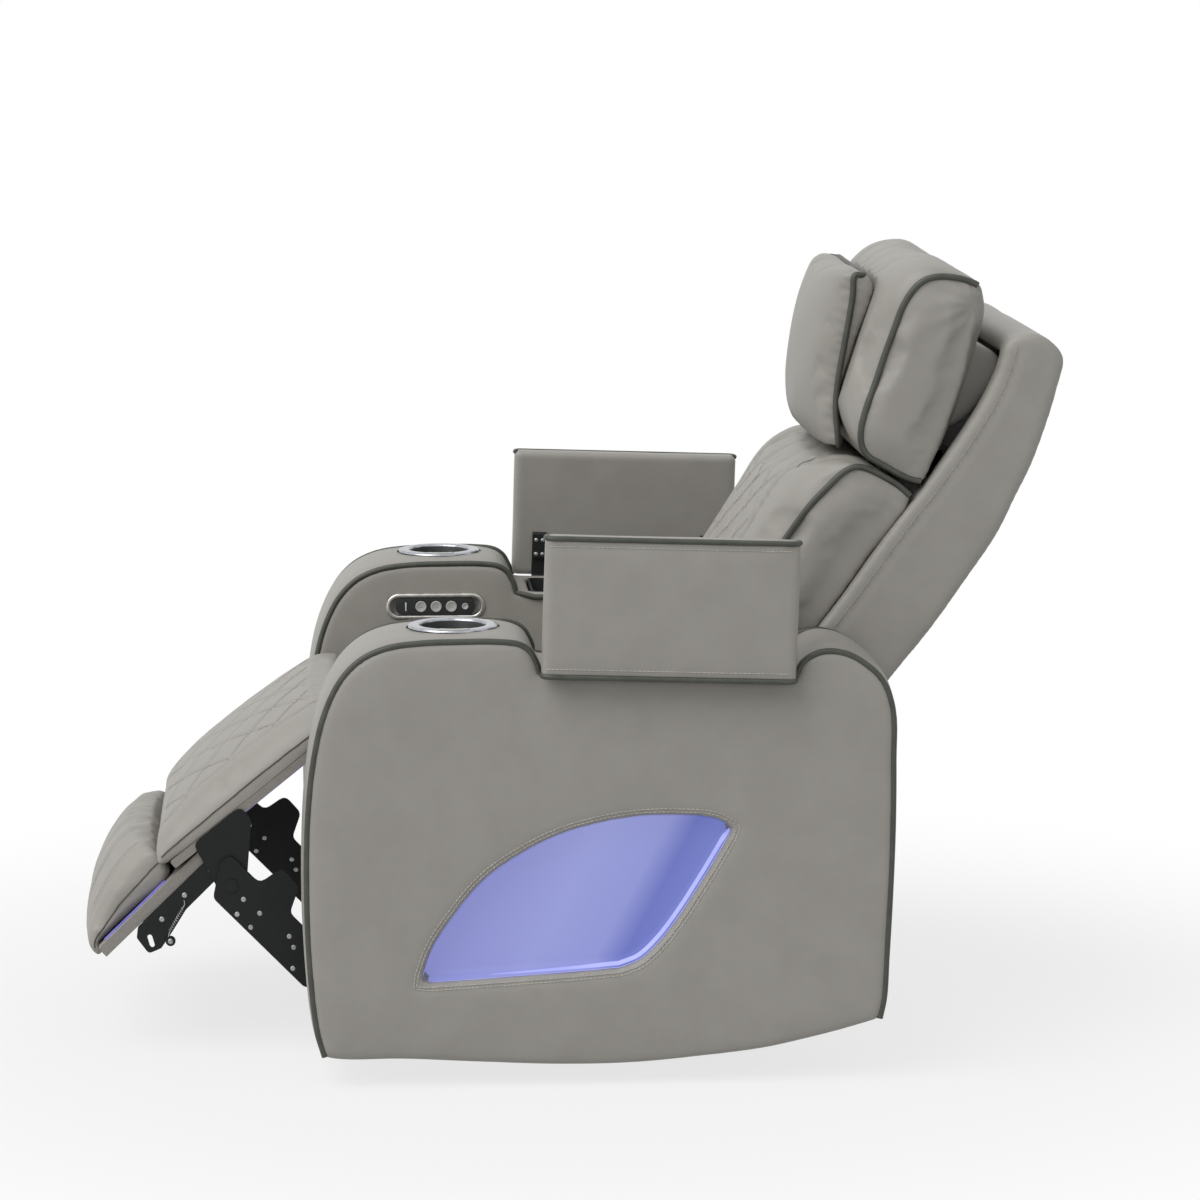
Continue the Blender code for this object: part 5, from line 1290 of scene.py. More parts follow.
@dataclass
class CupWell:
    """A pressed steel cup well with a wide flange, its switch and two spring clips."""

    side: Side
    centre_x: float = 0.3725
    profile: Points = ((0.0, -0.0728), (0.030, -0.0728), (0.0385, -0.0722), (0.0430, -0.0695),
                       (0.0447, -0.0650), (0.0449, -0.0300), (0.0450, -0.0020), (0.0455, 0.0012),
                       (0.0466, 0.0030), (0.0482, 0.0036), (0.0510, 0.0037), (0.0580, 0.0034),
                       (0.0606, 0.0028), (0.0617, 0.0016), (0.0620, 0.0002), (0.0600, 0.0),
                       (0.0462, 0.0), (0.0462, -0.0655), (0.0440, -0.0712), (0.0390, -0.0738),
                       (0.0, -0.0740))
    # a dark lining over the steel inside: painted shade in the deep well
    shade_lining: Points = ((0.0, -0.0700), (0.0380, -0.0700), (0.0424, -0.0660), (0.0430, -0.0600),
                     (0.0436, 0.0002), (0.0440, 0.0008), (0.0446, 0.0002), (0.0442, -0.0640),
                     (0.0400, -0.0715), (0.0, -0.0722))
    radii: Point = (0.0498, 0.0585)
    spread: float = 22.0

    def place(self) -> Vector:
        """The middle of the flange's seat."""
        return Vector((self.side.value * self.centre_x, CUP_Y, CUP_SEAT))

    def sector(self, low_z: float, high_z: float, grown: float) -> Mesh:
        """The crescent of the switch, as a block.

        Args:
            low_z: Its underside above the seat.
            high_z: Its top above the seat.
            grown: How much wider than the switch it is.

        Returns:
            The block.
        """
        low, high = self.radii[0] - grown, self.radii[1] + grown
        spread = math.radians(self.spread) + grown / high
        turns = [-spread + 2 * spread * i / 20 for i in range(21)]
        outline = [(high * math.cos(t), high * math.sin(t)) for t in turns]
        outline += [(low * math.cos(t), low * math.sin(t)) for t in reversed(turns)]
        return skin([[self.place() + Vector((x, y, z)) for x, y in outline] for z in (low_z, high_z)])

    def build(self) -> None:
        """Makes the well, its dark lining of painted shade, the switch and the clips."""
        word = self.side.word
        well = as_object(lathe(self.profile, self.place(), UP, 96), "cup_well_" + word)
        cut_with(well, [self.sector(0.0009, 0.02, 0.0005)])
        shaded(well.data, 40)
        dress(well, POLISHED, "base", ("cup_holder_" + word,))
        # a dark lining over the well's steel: painted shade in its deep inside
        shade_lining = lathe(self.shade_lining, self.place(), UP, 72)
        dress(as_object(shade_lining, "cup_liner_" + word, 40), BLACK_ABS, "base")
        switch = self.sector(0.0023, 0.0045, 0.0)
        top = [e for e in switch.edges if min(v.co.z for v in e.verts) > CUP_SEAT + 0.004]
        bmesh.ops.bevel(switch, geom=top, offset=0.0009, segments=3, profile=0.5, affect="EDGES",
                        material=-1)
        dress(as_object(switch, "cup_switch_" + word), GREY_ABS, "cup_button_%s_body" % word,
              ("cup_button_" + word,))
        clips = []
        for end in (1, -1):
            clip = bmesh.new()
            bmesh.ops.create_cone(clip, cap_ends=True, segments=3, radius1=0.0050, radius2=0.0034,
                                  depth=0.0030)
            bmesh.ops.rotate(clip, verts=clip.verts, cent=(0, 0, 0),
                             matrix=Matrix.Rotation(math.radians(-90 * end), 3, "Z"))
            place = self.place() + Vector((0.0, end * 0.0605, 0.0))
            bmesh.ops.translate(clip, verts=clip.verts, vec=place)
            clips.append(clip)
        dress(merged("cup_clips_" + word, clips), BLACK_ABS, "base")


@dataclass
class Lid:
    """A padded arm lid standing open on its hinges, welted along both long edges of its top."""

    side: Side
    inner_x: float = 0.4715
    outer_x: float = 0.5065
    start: float = 0.003
    length: float = 0.345
    low: float = -0.0005
    high: float = 0.194
    round: float = 0.009
    crown: float = 0.0035
    welt: float = 0.0038

    @property
    def body(self) -> str:
        """The lid's body."""
        return "lid_%s_body" % self.side.word

    def along(self, run: float, rise: float, x: float) -> Vector:
        """A point of the lid from its place along the deck, above it, and its width."""
        return DECK.at(self.side.value * x, run, rise)

    def block(self) -> Piece:
        """The lid's body: a rounded block whose faces are crowned."""
        bm = bmesh.new()
        bmesh.ops.create_cube(bm, size=1.0)
        bmesh.ops.subdivide_edges(bm, edges=bm.edges, cuts=30, use_grid_fill=True)
        low = Vector((self.inner_x, self.start, self.low))
        high = Vector((self.outer_x - self.crown, self.start + self.length, self.high))
        size = high - low
        for vert in bm.verts:
            spread = Vector([0.5 * math.sin(math.pi * c) if i else c for i, c in enumerate(vert.co)])
            share = Vector([c + 0.5 for c in spread])
            place = Vector([low[i] + size[i] * share[i] for i in range(3)])
            core = Vector([min(max(place[i], low[i] + self.round), high[i] - self.round)
                           for i in range(3)])
            off = place - core
            if off.length > self.round:
                place = core + off.normalized() * self.round
            swell_share = max(0.0, 1 - (2 * share.y - 1) ** 4) * max(0.0, 1 - (2 * share.z - 1) ** 4)
            place.x += self.crown * swell_share * max(0.0, (share.x - 0.5) * 2)
            vert.co = self.along(place.y, place.z, place.x)
        outward(bm)
        return as_object(bm, "lid_pad_" + self.side.word, 60)

    def seams(self, inset: float, x: float) -> list[list[Vector]]:
        """The lines along the lid's two long edges."""
        runs = [self.start + 0.006 + (self.length - 0.012) * i / 40 for i in range(41)]
        return [[self.along(run, rise, x) for run in runs]
                for rise in (self.high - inset, self.low + inset)]

    def build(self) -> None:
        """Makes the pad, its welts and topstitching, and the screws of its hinges."""
        pad = self.block()
        lines = self.seams(0.0135, self.outer_x - 0.002)

        def sewn(co: Array, normals: Array) -> Array:
            """The topstitching draws the cover in; the panel between has soft folds."""
            near = line_distance(co, *lines)
            outer = normals[:, 0] * self.side.value > 0.5
            return (np.where(outer, groove(near, 0.0007, 0.0045), 0.0)
                    + rumple(co, 0.07, 0.0006, seed=3.0))

        swell(pad, sewn)
        upholster(pad, self.body, ("lid_" + self.side.word,))
        inner = self.outer_x - 0.0075
        start, end = self.start + 0.001, self.start + self.length - 0.001
        points = [(start + 0.0015, inner - 0.016), (start, inner - 0.006),
                  (start + 0.004, inner + 0.002), (start + 0.03, inner + 0.0035),
                  (start + self.length / 2, inner + 0.0042), (end - 0.03, inner + 0.0035),
                  (end - 0.004, inner + 0.002), (end, inner - 0.006), (end - 0.0015, inner - 0.016)]
        welts = [smooth_line([self.along(run, rise, x) for run, x in points])
                 for rise in (self.high - 0.0030, self.low + 0.0030)]
        tubes("lid_welts_" + self.side.word, welts, self.welt, PIPING, self.body)
        TOPSTITCH.sew("lid_stitching_" + self.side.word, lines, surface_tree(pad), self.body)
        self.screws()

    def screws(self) -> None:
        """Four bright pan-head screws in the block of each hinge."""
        heads = []
        for hinge in (0.0335, 0.2955):
            for run in (hinge + 0.006, hinge + 0.016):
                for rise in (0.036, 0.058):
                    place = self.along(run, rise - 0.002, 0.4632)
                    heads.append(pan_head(place, Vector((-self.side.value, 0, 0)), 0.0034, 0.0016))
        dress(merged("hinge_screws_" + self.side.word, heads, 40), ZINC, self.body)


def pan_head(place: Vector, axis: Vector, radius: float, height: float) -> Mesh:
    """A domed screw or rivet head standing on a face, with a dimple in its middle.

    Args:
        place: The middle of its foot.
        axis: The way it faces.
        radius: Its radius.
        height: Its height.

    Returns:
        The head.
    """
    profile = ((0.0, height * 0.62), (radius * 0.20, height * 0.66), (radius * 0.32, height),
               (radius * 0.62, height * 0.94), (radius * 0.88, height * 0.62), (radius, height * 0.12),
               (radius, -0.0008), (0.0, -0.0008))
    return lathe(profile, place, axis, 20)


@dataclass
class ControlPad:
    """The button pad on the right arm: a plated bezel round a black plate with four buttons."""

    centre: Point = PAD_CENTRE
    face_x: float = -0.2747
    bezel: Point = (0.150, 0.040)
    plate: Point = (0.121, 0.027)
    rim: Points = ((0.0, 0.0), (0.0, 0.0034), (0.0009, 0.0044), (0.0028, 0.0050), (0.0050, 0.0049),
                   (0.0062, 0.0040), (0.0066, 0.0012), (0.0066, 0.0))
    buttons: Sequence[tuple[str, float, float]] = (("control_button_front", -0.022, 0.0084),
                                                   ("control_button_middle", 0.001, 0.0084),
                                                   ("control_button_rear", 0.024, 0.0084),
                                                   ("control_light_button", 0.045, 0.0050))
    plate_rise: float = 0.0035

    def stadium(self, size: Point, x: float) -> list[Vector]:
        """A stadium outline on the arm's face.

        Args:
            size: Its length and height.
            x: Its place across the chair.

        Returns:
            The outline's points.
        """
        half = (size[0] - size[1]) / 2
        radius = size[1] / 2
        points = []
        for end in (1, -1):
            for i in range(21):
                turn = math.pi * (i / 20 - 0.5)
                points.append(Vector((x, self.centre[0] + end * (half + radius * math.cos(turn)),
                                      self.centre[1] + end * radius * math.sin(turn))))
        return points

    def build(self) -> None:
        """Makes the bezel, the plate, its indicator and the buttons."""
        base = self.stadium(self.bezel, self.face_x)
        rings = [[p + ACROSS * rise for p in moved_out(base, -inset)] for inset, rise in self.rim]
        bezel = skin(rings, capped=False)
        bmesh.ops.bridge_loops(bezel, edges=[e for e in bezel.edges if e.is_boundary])
        outward(bezel)
        dress(as_object(bezel, "pad_bezel", 50), SATIN, "base", ("control_bezel",))
        edge = ((0.0, 0.0), (0.0, 0.0028), (0.0006, 0.0034), (0.0014, self.plate_rise))
        rings = [self.stadium((self.plate[0] - 2 * d, self.plate[1] - 2 * d), self.face_x + rise)
                 for d, rise in edge]
        plate = as_object(skin(rings), "pad_plate")
        cut_with(plate, [self.hole(offset, radius + 0.0004) for _, offset, radius in self.buttons])
        shaded(plate.data, 30)
        dress(plate, BLACK_ABS, "base", ("control_plate",))
        mark = bar((0.0010, 0.0022, 0.0130), self.middle(-0.045) + ACROSS * self.plate_rise,
                   bevel=0.0004)
        dress(as_object(mark, "pad_indicator"), INDICATOR, "base")
        for name, offset, radius in self.buttons:
            self.button(name, offset, radius)

    def middle(self, offset: float) -> Vector:
        """A point of the arm's face on the pad's middle line."""
        return Vector((self.face_x, self.centre[0] + offset, self.centre[1]))

    def hole(self, offset: float, radius: float) -> Mesh:
        """What is cut out of the plate for a button."""
        return lathe(((0.0, -0.002), (radius, -0.002), (radius, 0.01), (0.0, 0.01)),
                     self.middle(offset), ACROSS, 40)

    def button(self, name: str, offset: float, radius: float) -> None:
        """A round button with a raised rim, a dished face and a plain raised mark.

        Args:
            name: The node that it stands for.
            offset: Its place along the pad.
            radius: Its radius.
        """
        rise = self.plate_rise + 0.0016
        profile = ((0.0, rise - 0.0010), (radius * 0.62, rise - 0.0008), (radius * 0.78, rise - 0.0001),
                   (radius * 0.90, rise), (radius, rise - 0.0006), (radius, rise - 0.0024),
                   (0.0, rise - 0.0024))
        parts = [lathe(profile, self.middle(offset), ACROSS, 40)]
        if radius > 0.006:
            for tilt in (0, 90) if "middle" in name else (90,):
                parts.append(bar((0.0008, 0.0008, radius * 0.8),
                                 self.middle(offset) + ACROSS * (rise - 0.0008), tilt))
        dress(merged("face_" + name, parts, 40), GREY_ABS, name + "_body", (name,))


# Seat and footrest


@dataclass
class Seat:
    """The seat cushion between the arms: quilted middle, plain borders, a full front roll."""

    channel: float = 0.180
    quilting: Quilting = Quilting(LEVEL, (0.086, 0.082), 0.172, -0.28, 0.06)
    form: PaddedForm = PaddedForm(
        "seat_pad", "base", ("seat_cushion",), LEVEL,
        side=((-0.3025, 0.3705), (-0.3065, 0.438), (-0.3055, 0.481), (-0.2865, 0.493),
              (-0.190, 0.489), (-0.068, 0.477), (0.026, 0.460), (0.074, 0.454), (0.083, 0.434),
              (0.080, 0.3705)),
        centre=((-0.3025, 0.3705), (-0.3085, 0.438), (-0.3055, 0.491), (-0.2825, 0.513),
                (-0.190, 0.511), (-0.068, 0.499), (0.026, 0.474), (0.074, 0.468), (0.086, 0.444),
                (0.080, 0.3705)),
        half_width=0.262, voxel=0.0072, cap=0.010, fill=0.75,
        keep=lambda y, z: (np.clip(y, -0.3095, 0.090), np.maximum(z, 0.3702)))

    def build(self) -> None:
        """Makes the cushion, its quilting and its channels."""
        channels = [[LEVEL.at(sign * self.channel, y, 0.505 - max(0, y + 0.19) * 0.14)
                     for y in (-0.30, -0.1, 0.08)] for sign in (1, -1)]

        def sewn(co: Array, normals: Array) -> Array:
            """Channels at both sides of the quilted panel, and soft creases."""
            top = normals[:, 2] > 0.25
            off = np.minimum(np.abs(co[:, 0] - self.channel), np.abs(co[:, 0] + self.channel))
            move = np.where(top, groove(off, 0.0055, 0.006), 0.0)
            move += np.where(top, self.quilting.relief(co, 0.0026), 0.0)
            return move + rumple(co, 0.06, 0.0016, (1.0, 0.6, 1.0), 5.0)

        tree = surface_tree(self.form.build(sewn))
        QUILT_STITCH.sew("seat_quilting", self.quilting.lines(0.505), tree, "base")
        laid_crease_shade("seat_channels", channels, tree, "base", -0.0002, 0.0006, 0.008)


@dataclass
class LegRest:
    """The leg rest's padding over its board: a boxed edge, a crowned and quilted top."""

    border: float = 0.203
    quilting: Quilting = Quilting(LEG, (0.098, 0.082), 0.196, 0.02, 0.29)
    form: PaddedForm = PaddedForm(
        "legrest_cover", "leg_rest", ("legrest_pad",), LEG,
        side=((0.004, 0.0123), (-0.004, 0.020), (0.002, 0.028), (0.050, 0.029), (0.110, 0.030),
              (0.180, 0.030), (0.249, 0.029), (0.322, 0.027), (0.333, 0.019), (0.320, 0.0123)),
        centre=((0.004, 0.0123), (-0.016, 0.037), (0.004, 0.052), (0.052, 0.064), (0.116, 0.070),
                (0.180, 0.072), (0.249, 0.069), (0.307, 0.051), (0.329, 0.030), (0.320, 0.0123)),
        half_width=0.262, power=2.2, voxel=0.0062, cap=0.006, fill=0.7,
        keep=lambda run, rise: (run, np.maximum(rise, 0.0122)))

    def build(self) -> None:
        """Makes the cover, its seams and quilting, and the light strips under the board."""
        seams = self.form.seams(2, 7)

        def sewn(co: Array, normals: Array) -> Array:
            """A tight seam along both sides, a plain border and a quilted middle."""
            top = LEG.split(co)[1] > 0.036
            border = np.abs(np.abs(co[:, 0]) - self.border)
            move = (groove(line_distance(co, *seams), 0.0016, 0.0035)
                    + np.where(top, groove(border, 0.0022, 0.004), 0.0))
            move += np.where(top, self.quilting.relief(co, 0.0020), 0.0)
            return move + np.where(top, rumple(co, 0.07, 0.0012, (1.0, 0.8, 0.8), 9.0), 0.0)

        tree = surface_tree(self.form.build(sewn))
        rows = [(0.012 + 0.285 * i / 60, 0.06) for i in range(61)]
        lines = self.quilting.lines(0.075) + [LEG.line(sign * self.border, rows) for sign in (1, -1)]
        QUILT_STITCH.sew("legrest_quilting", lines, tree, "leg_rest")
        laid_crease_shade("legrest_seams", seams, tree, "leg_rest", 0.0003, 0.0011)
        strips = [bar((0.008, 0.16, 0.0024), LEG.at(sign * 0.241, 0.115, -0.0011), LEG_PITCH, 0.0008)
                  for sign in (1, -1)]
        dress(merged("legrest_diodes", strips), DIODES, "leg_rest")


@dataclass
class Flipper:
    """The folding end of the footrest: padding gathered at its upper seam, bumpers and springs."""

    channels: Sequence[float] = (-0.196, -0.118, -0.039, 0.039, 0.118, 0.196)
    form: PaddedForm = PaddedForm(
        "flipper_cover", "flipper", ("flipper_pad",), FLIPPER,
        side=((0.074, 0.0083), (0.071, 0.022), (0.073, 0.034), (0.100, 0.034), (0.128, 0.032),
              (0.164, 0.029), (0.196, 0.024), (0.224, 0.0165), (0.234, 0.006), (0.233, -0.006),
              (0.2245, -0.0085), (0.2235, 0.004), (0.2225, 0.0083), (0.215, 0.0083),
              (0.150, 0.0083)),
        centre=((0.074, 0.0083), (0.071, 0.040), (0.076, 0.074), (0.102, 0.083), (0.144, 0.078),
                (0.186, 0.062), (0.214, 0.044), (0.234, 0.025), (0.241, 0.009), (0.238, -0.007),
                (0.2245, -0.0085), (0.2235, 0.004), (0.2225, 0.0083), (0.215, 0.0083),
                (0.150, 0.0083)),
        half_width=0.232, voxel=0.0058, cap=0.005, fill=0.65,
        keep=lambda run, rise: (np.clip(run, 0.0706, 0.250),
                                np.where(run < 0.2226, np.maximum(rise, 0.0082), rise)))

    def build(self) -> None:
        """Makes the cover, its seams, the stitching of its channels and the small steel pieces."""
        seams = self.form.seams(2, 8)

        def sewn(co: Array, normals: Array) -> Array:
            """Gathers fan out from the upper seam and fade down the pad."""
            run, rise = FLIPPER.split(co)
            fade = np.exp(-np.maximum(run - 0.082, 0.0) / 0.035) * (rise > 0.03)
            wander = np.array([noise.noise(Vector((p[0] * 14, p[1] * 6, 2.0))) for p in co])
            pleats = np.sin(co[:, 0] * 150 + wander * 3.2) * (0.6 + 0.8 * np.abs(wander))
            channel = np.min([np.abs(co[:, 0] - x) for x in self.channels], axis=0)
            sunk = groove(channel, 0.0034, 0.0085) * np.clip((0.225 - run) / 0.04, 0, 1)
            return (groove(line_distance(co, *seams), 0.0016, 0.0035) + 0.0014 * pleats * fade
                    + np.where(rise > 0.03, sunk + rumple(co, 0.06, 0.0012, seed=12.0), 0.0))

        tree = surface_tree(self.form.build(sewn))
        laid_crease_shade("flipper_seams", seams, tree, "flipper", 0.0003, 0.0011)
        rows = [FLIPPER.line(x, [(0.080 + 0.135 * i / 40, 0.085) for i in range(41)])
                for x in self.channels]
        CHANNEL_STITCH.sew("flipper_stitching", rows, tree, "flipper")
        self.hardware()

    def hardware(self) -> None:
        """Screws in the bumpers, spring hooks, and light strips beside the padding."""
        heads, hooks, strips = [], [], []
        for sign in (1, -1):
            out = ACROSS * sign
            heads.append(pan_head(FLIPPER.at(sign * 0.2600, 0.141, -0.0545), out, 0.0040, 0.0016))
            for run, rise in ((0.030, -0.022), (0.081, -0.022), (0.128, -0.024)):
                heads.append(pan_head(FLIPPER.at(sign * 0.2555, run, rise), out, 0.0040, 0.0012))
            ends = (((0.096, -0.033), (0.090, -0.031), (0.086, -0.026)),
                    ((0.130, -0.043), (0.136, -0.046), (0.141, -0.050)))
            for points in ends:
                hooks.append(smooth_line(FLIPPER.line(sign * 0.2583, points), 5))
            strips.append(bar((0.0060, 0.120, 0.0026), FLIPPER.at(sign * 0.2335, 0.150, 0.0090),
                              FLIPPER_PITCH, 0.0008))
        dress(merged("flipper_screws", heads, 40), ZINC, "flipper")
        tubes("spring_hooks", hooks, 0.0008, ZINC, "flipper", 2)
        dress(merged("flipper_diodes", strips), DIODES, "flipper")


@dataclass
class Linkage:
    """Rivets and pressed nuts on the steel links of the footrest."""

    link_rivets: Points = ((-0.4712, 0.2018), (-0.4524, 0.1828), (-0.4395, 0.2028),
                           (-0.3922, 0.153), (-0.3939, 0.1227), (-0.4620, 0.2230),
                           (-0.3983, 0.1690))
    inner_x: float = 0.2611
    outer_x: float = 0.2651

    def build(self) -> None:
        """Makes rivet heads, flat enough to pass the cranks, on both faces of both links."""
        made = []
        for sign in (1, -1):
            for y, z in self.link_rivets:
                for x, way in ((self.outer_x, 1), (self.inner_x, -1)):
                    made.append(pan_head(Vector((sign * x, y, z)), ACROSS * sign * way, 0.0036, 0.0005))
        dress(merged("link_rivets", made, 40), ZINC, "footrest_links")


# Back and headrest


SHELL_FRONT = ((0.7521, 0.0462), (0.7301, 0.0309), (0.692, 0.0425), (0.648, 0.0508),
               (0.5956, 0.054), (0.5002, 0.0527), (0.4437, 0.0489), (0.3861, 0.0471),
               (0.3141, 0.0455), (0.2496, 0.0424), (0.120, 0.042), (-0.022, 0.042))
SHELL_REAR = ((-0.030, 0.052), (-0.030, 0.136), (-0.018, 0.148), (0.100, 0.160), (0.2467, 0.1692),
              (0.3247, 0.1752), (0.4196, 0.1775), (0.495, 0.1761), (0.5565, 0.1668),
              (0.603, 0.1604), (0.6605, 0.1452), (0.7158, 0.1268), (0.7549, 0.1097), (0.762, 0.092),
              (0.762, 0.064))


def shell_face(run: Array) -> Array:
    """Depth of the shell's front face at heights along the back."""
    points = sorted(SHELL_FRONT)
    return np.interp(run, [p[0] for p in points], [p[1] for p in points])


def slab(frame: SideFrame, points: Points, half: float) -> list[list[Vector]]:
    """Rings of a side-view outline carried across the chair, softly rounded at both ends.

    Args:
        frame: The outline's frame.
        points: The outline.
        half: Half width.

    Returns:
        The rings, for skin.
    """
    loop = smooth_line([Vector((0, *p)) for p in points], 5, closed=True)
    ends = ((1.0, 0.0115), (0.9985, 0.0070), (0.9955, 0.0040), (0.990, 0.0018), (0.981, 0.0004),
            (0.965, 0.0))
    places = [(-s, d) for s, d in ends] + [(0.0, 0.0)] + [(s, d) for s, d in reversed(ends)]
    return [[frame.at(share * half, p.y, p.z) for p in moved_out(loop, -inset)]
            for share, inset in places]


@dataclass
class Back:
    """The outer shell with its pocket, and the boxed back cushion with its gathered middle."""

    half: float = 0.2656
    pocket: Points = ((0.492, -0.030), (0.492, 0.112), (0.712, 0.090), (0.712, -0.030))
    pocket_half: float = 0.226
    channel: float = 0.150
    quilting: Quilting = Quilting(BACK, (0.090, 0.090), 0.135, 0.05, 0.40)
    form: PaddedForm = PaddedForm(
        "back_pad", "back", ("back_cushion",), BACK,
        side=((0.4800, 0.050), (0.4810, 0.0), (0.4755, -0.034), (0.4575, -0.052), (0.4225, -0.061),
              (0.3825, -0.068), (0.335, -0.070), (0.250, -0.070), (0.150, -0.070), (0.060, -0.068),
              (0.0, -0.062), (-0.045, -0.045), (-0.064, -0.010), (-0.058, 0.026), (-0.030, 0.047),
              (0.100, 0.050), (0.250, 0.050), (0.380, 0.050)),
        centre=((0.4740, 0.050), (0.4720, 0.0), (0.4660, -0.045), (0.4520, -0.080),
                (0.4240, -0.097), (0.3805, -0.104), (0.335, -0.102), (0.250, -0.099),
                (0.150, -0.099), (0.072, -0.096), (0.040, -0.080), (-0.040, -0.062),
                (-0.070, -0.020), (-0.066, 0.026), (-0.030, 0.047), (0.100, 0.050), (0.250, 0.050),
                (0.380, 0.052)),
        half_width=0.262, voxel=0.0068, cap=0.008, fill=0.75, power=2.6, edge=0.003,
        keep=lambda run, rise: (run, np.minimum(rise, shell_face(run) - 0.0004)))

    def build(self) -> None:
        """Makes the shell and the cushion."""
        self.shell()
        self.cushion()

    def shell(self) -> None:
        """The padded shell, softly rounded at its sides, with a pocket behind the headrest."""
        shell = as_object(skin(slab(BACK, SHELL_FRONT + SHELL_REAR, self.half)), "shell_cover")
        cut_with(shell, [prism(BACK.line(0.0, self.pocket), -self.pocket_half, self.pocket_half)])
        remeshed(shell, 0.0062)
        edge = SHELL_FRONT[1:-1]
        seams, rows = ([smooth_line(BACK.line(sign * self.half, [(s, t + off) for s, t in edge]))
                        for sign in (1, -1)] for off in (0.021, 0.0165))

        def sewn(co: Array, normals: Array) -> Array:
            """A seam runs behind the front edge; the rest has soft random unevenness."""
            return (groove(line_distance(co, *seams), 0.0030, 0.0032)
                    + rumple(co, 0.12, 0.0016, seed=17.0))

        swell(shell, sewn)
        co, _ = vertex_arrays(shell)
        co[:, 0] = np.clip(co[:, 0], -self.half - 0.0002, self.half + 0.0002)
        set_places(shell, co)
        shell.data.shade_smooth()
        upholster(shell, "back", ("back_shell",))
        SHELL_STITCH.sew("shell_stitching", rows, surface_tree(shell), "back")

    def cushion(self) -> None:
        """The back cushion: two piped gussets, a front with channels and small folds."""
        edges = self.form.seams(0, 10)
        folds = [BACK.line(sign * self.channel, [(r, -0.10) for r in (0.452, 0.3, 0.12, -0.02)])
                 for sign in (1, -1)]

        def sewn(co: Array, normals: Array) -> Array:
            """Channels with puckers across them, a quilted middle and a plain border."""
            run, rise = BACK.split(co)
            front = rise < -0.03
            off = np.minimum(np.abs(co[:, 0] - self.channel), np.abs(co[:, 0] + self.channel))
            pucker = np.sin(run * 260 + np.sin(run * 71) * 2.0) * np.exp(-(off / 0.020) ** 2)
            move = np.where(front, groove(off, 0.0075, 0.0075) + 0.0007 * pucker, 0.0)
            inside = np.clip((self.channel - 0.012 - np.abs(co[:, 0])) / 0.01, 0, 1) * front
            move += inside * self.quilting.relief(co, 0.0022)
            near = line_distance(co, *edges)
            drag = np.exp(-(near / 0.05) ** 2) * (np.abs(co[:, 0]) < 0.25)
            return (move + rumple(co, 0.08, 0.0018, (0.6, 1.0, 1.0), 21.0) * (0.2 + 0.8 * front)
                    + rumple(co, 0.022, 0.0005, (0.5, 1.0, 1.0), 23.0) * drag * front)

        pad = self.form.build(sewn)
        laid_welts("back_welts", edges, pad, "back")
        tree = surface_tree(pad)
        laid_crease_shade("back_channels", folds, tree, "back", -0.0002, 0.0007)
        rows = replace(self.quilting, half=0.133, start=0.06).lines(-0.14)
        BACK_STITCH.sew("back_quilting", rows, tree, "back")


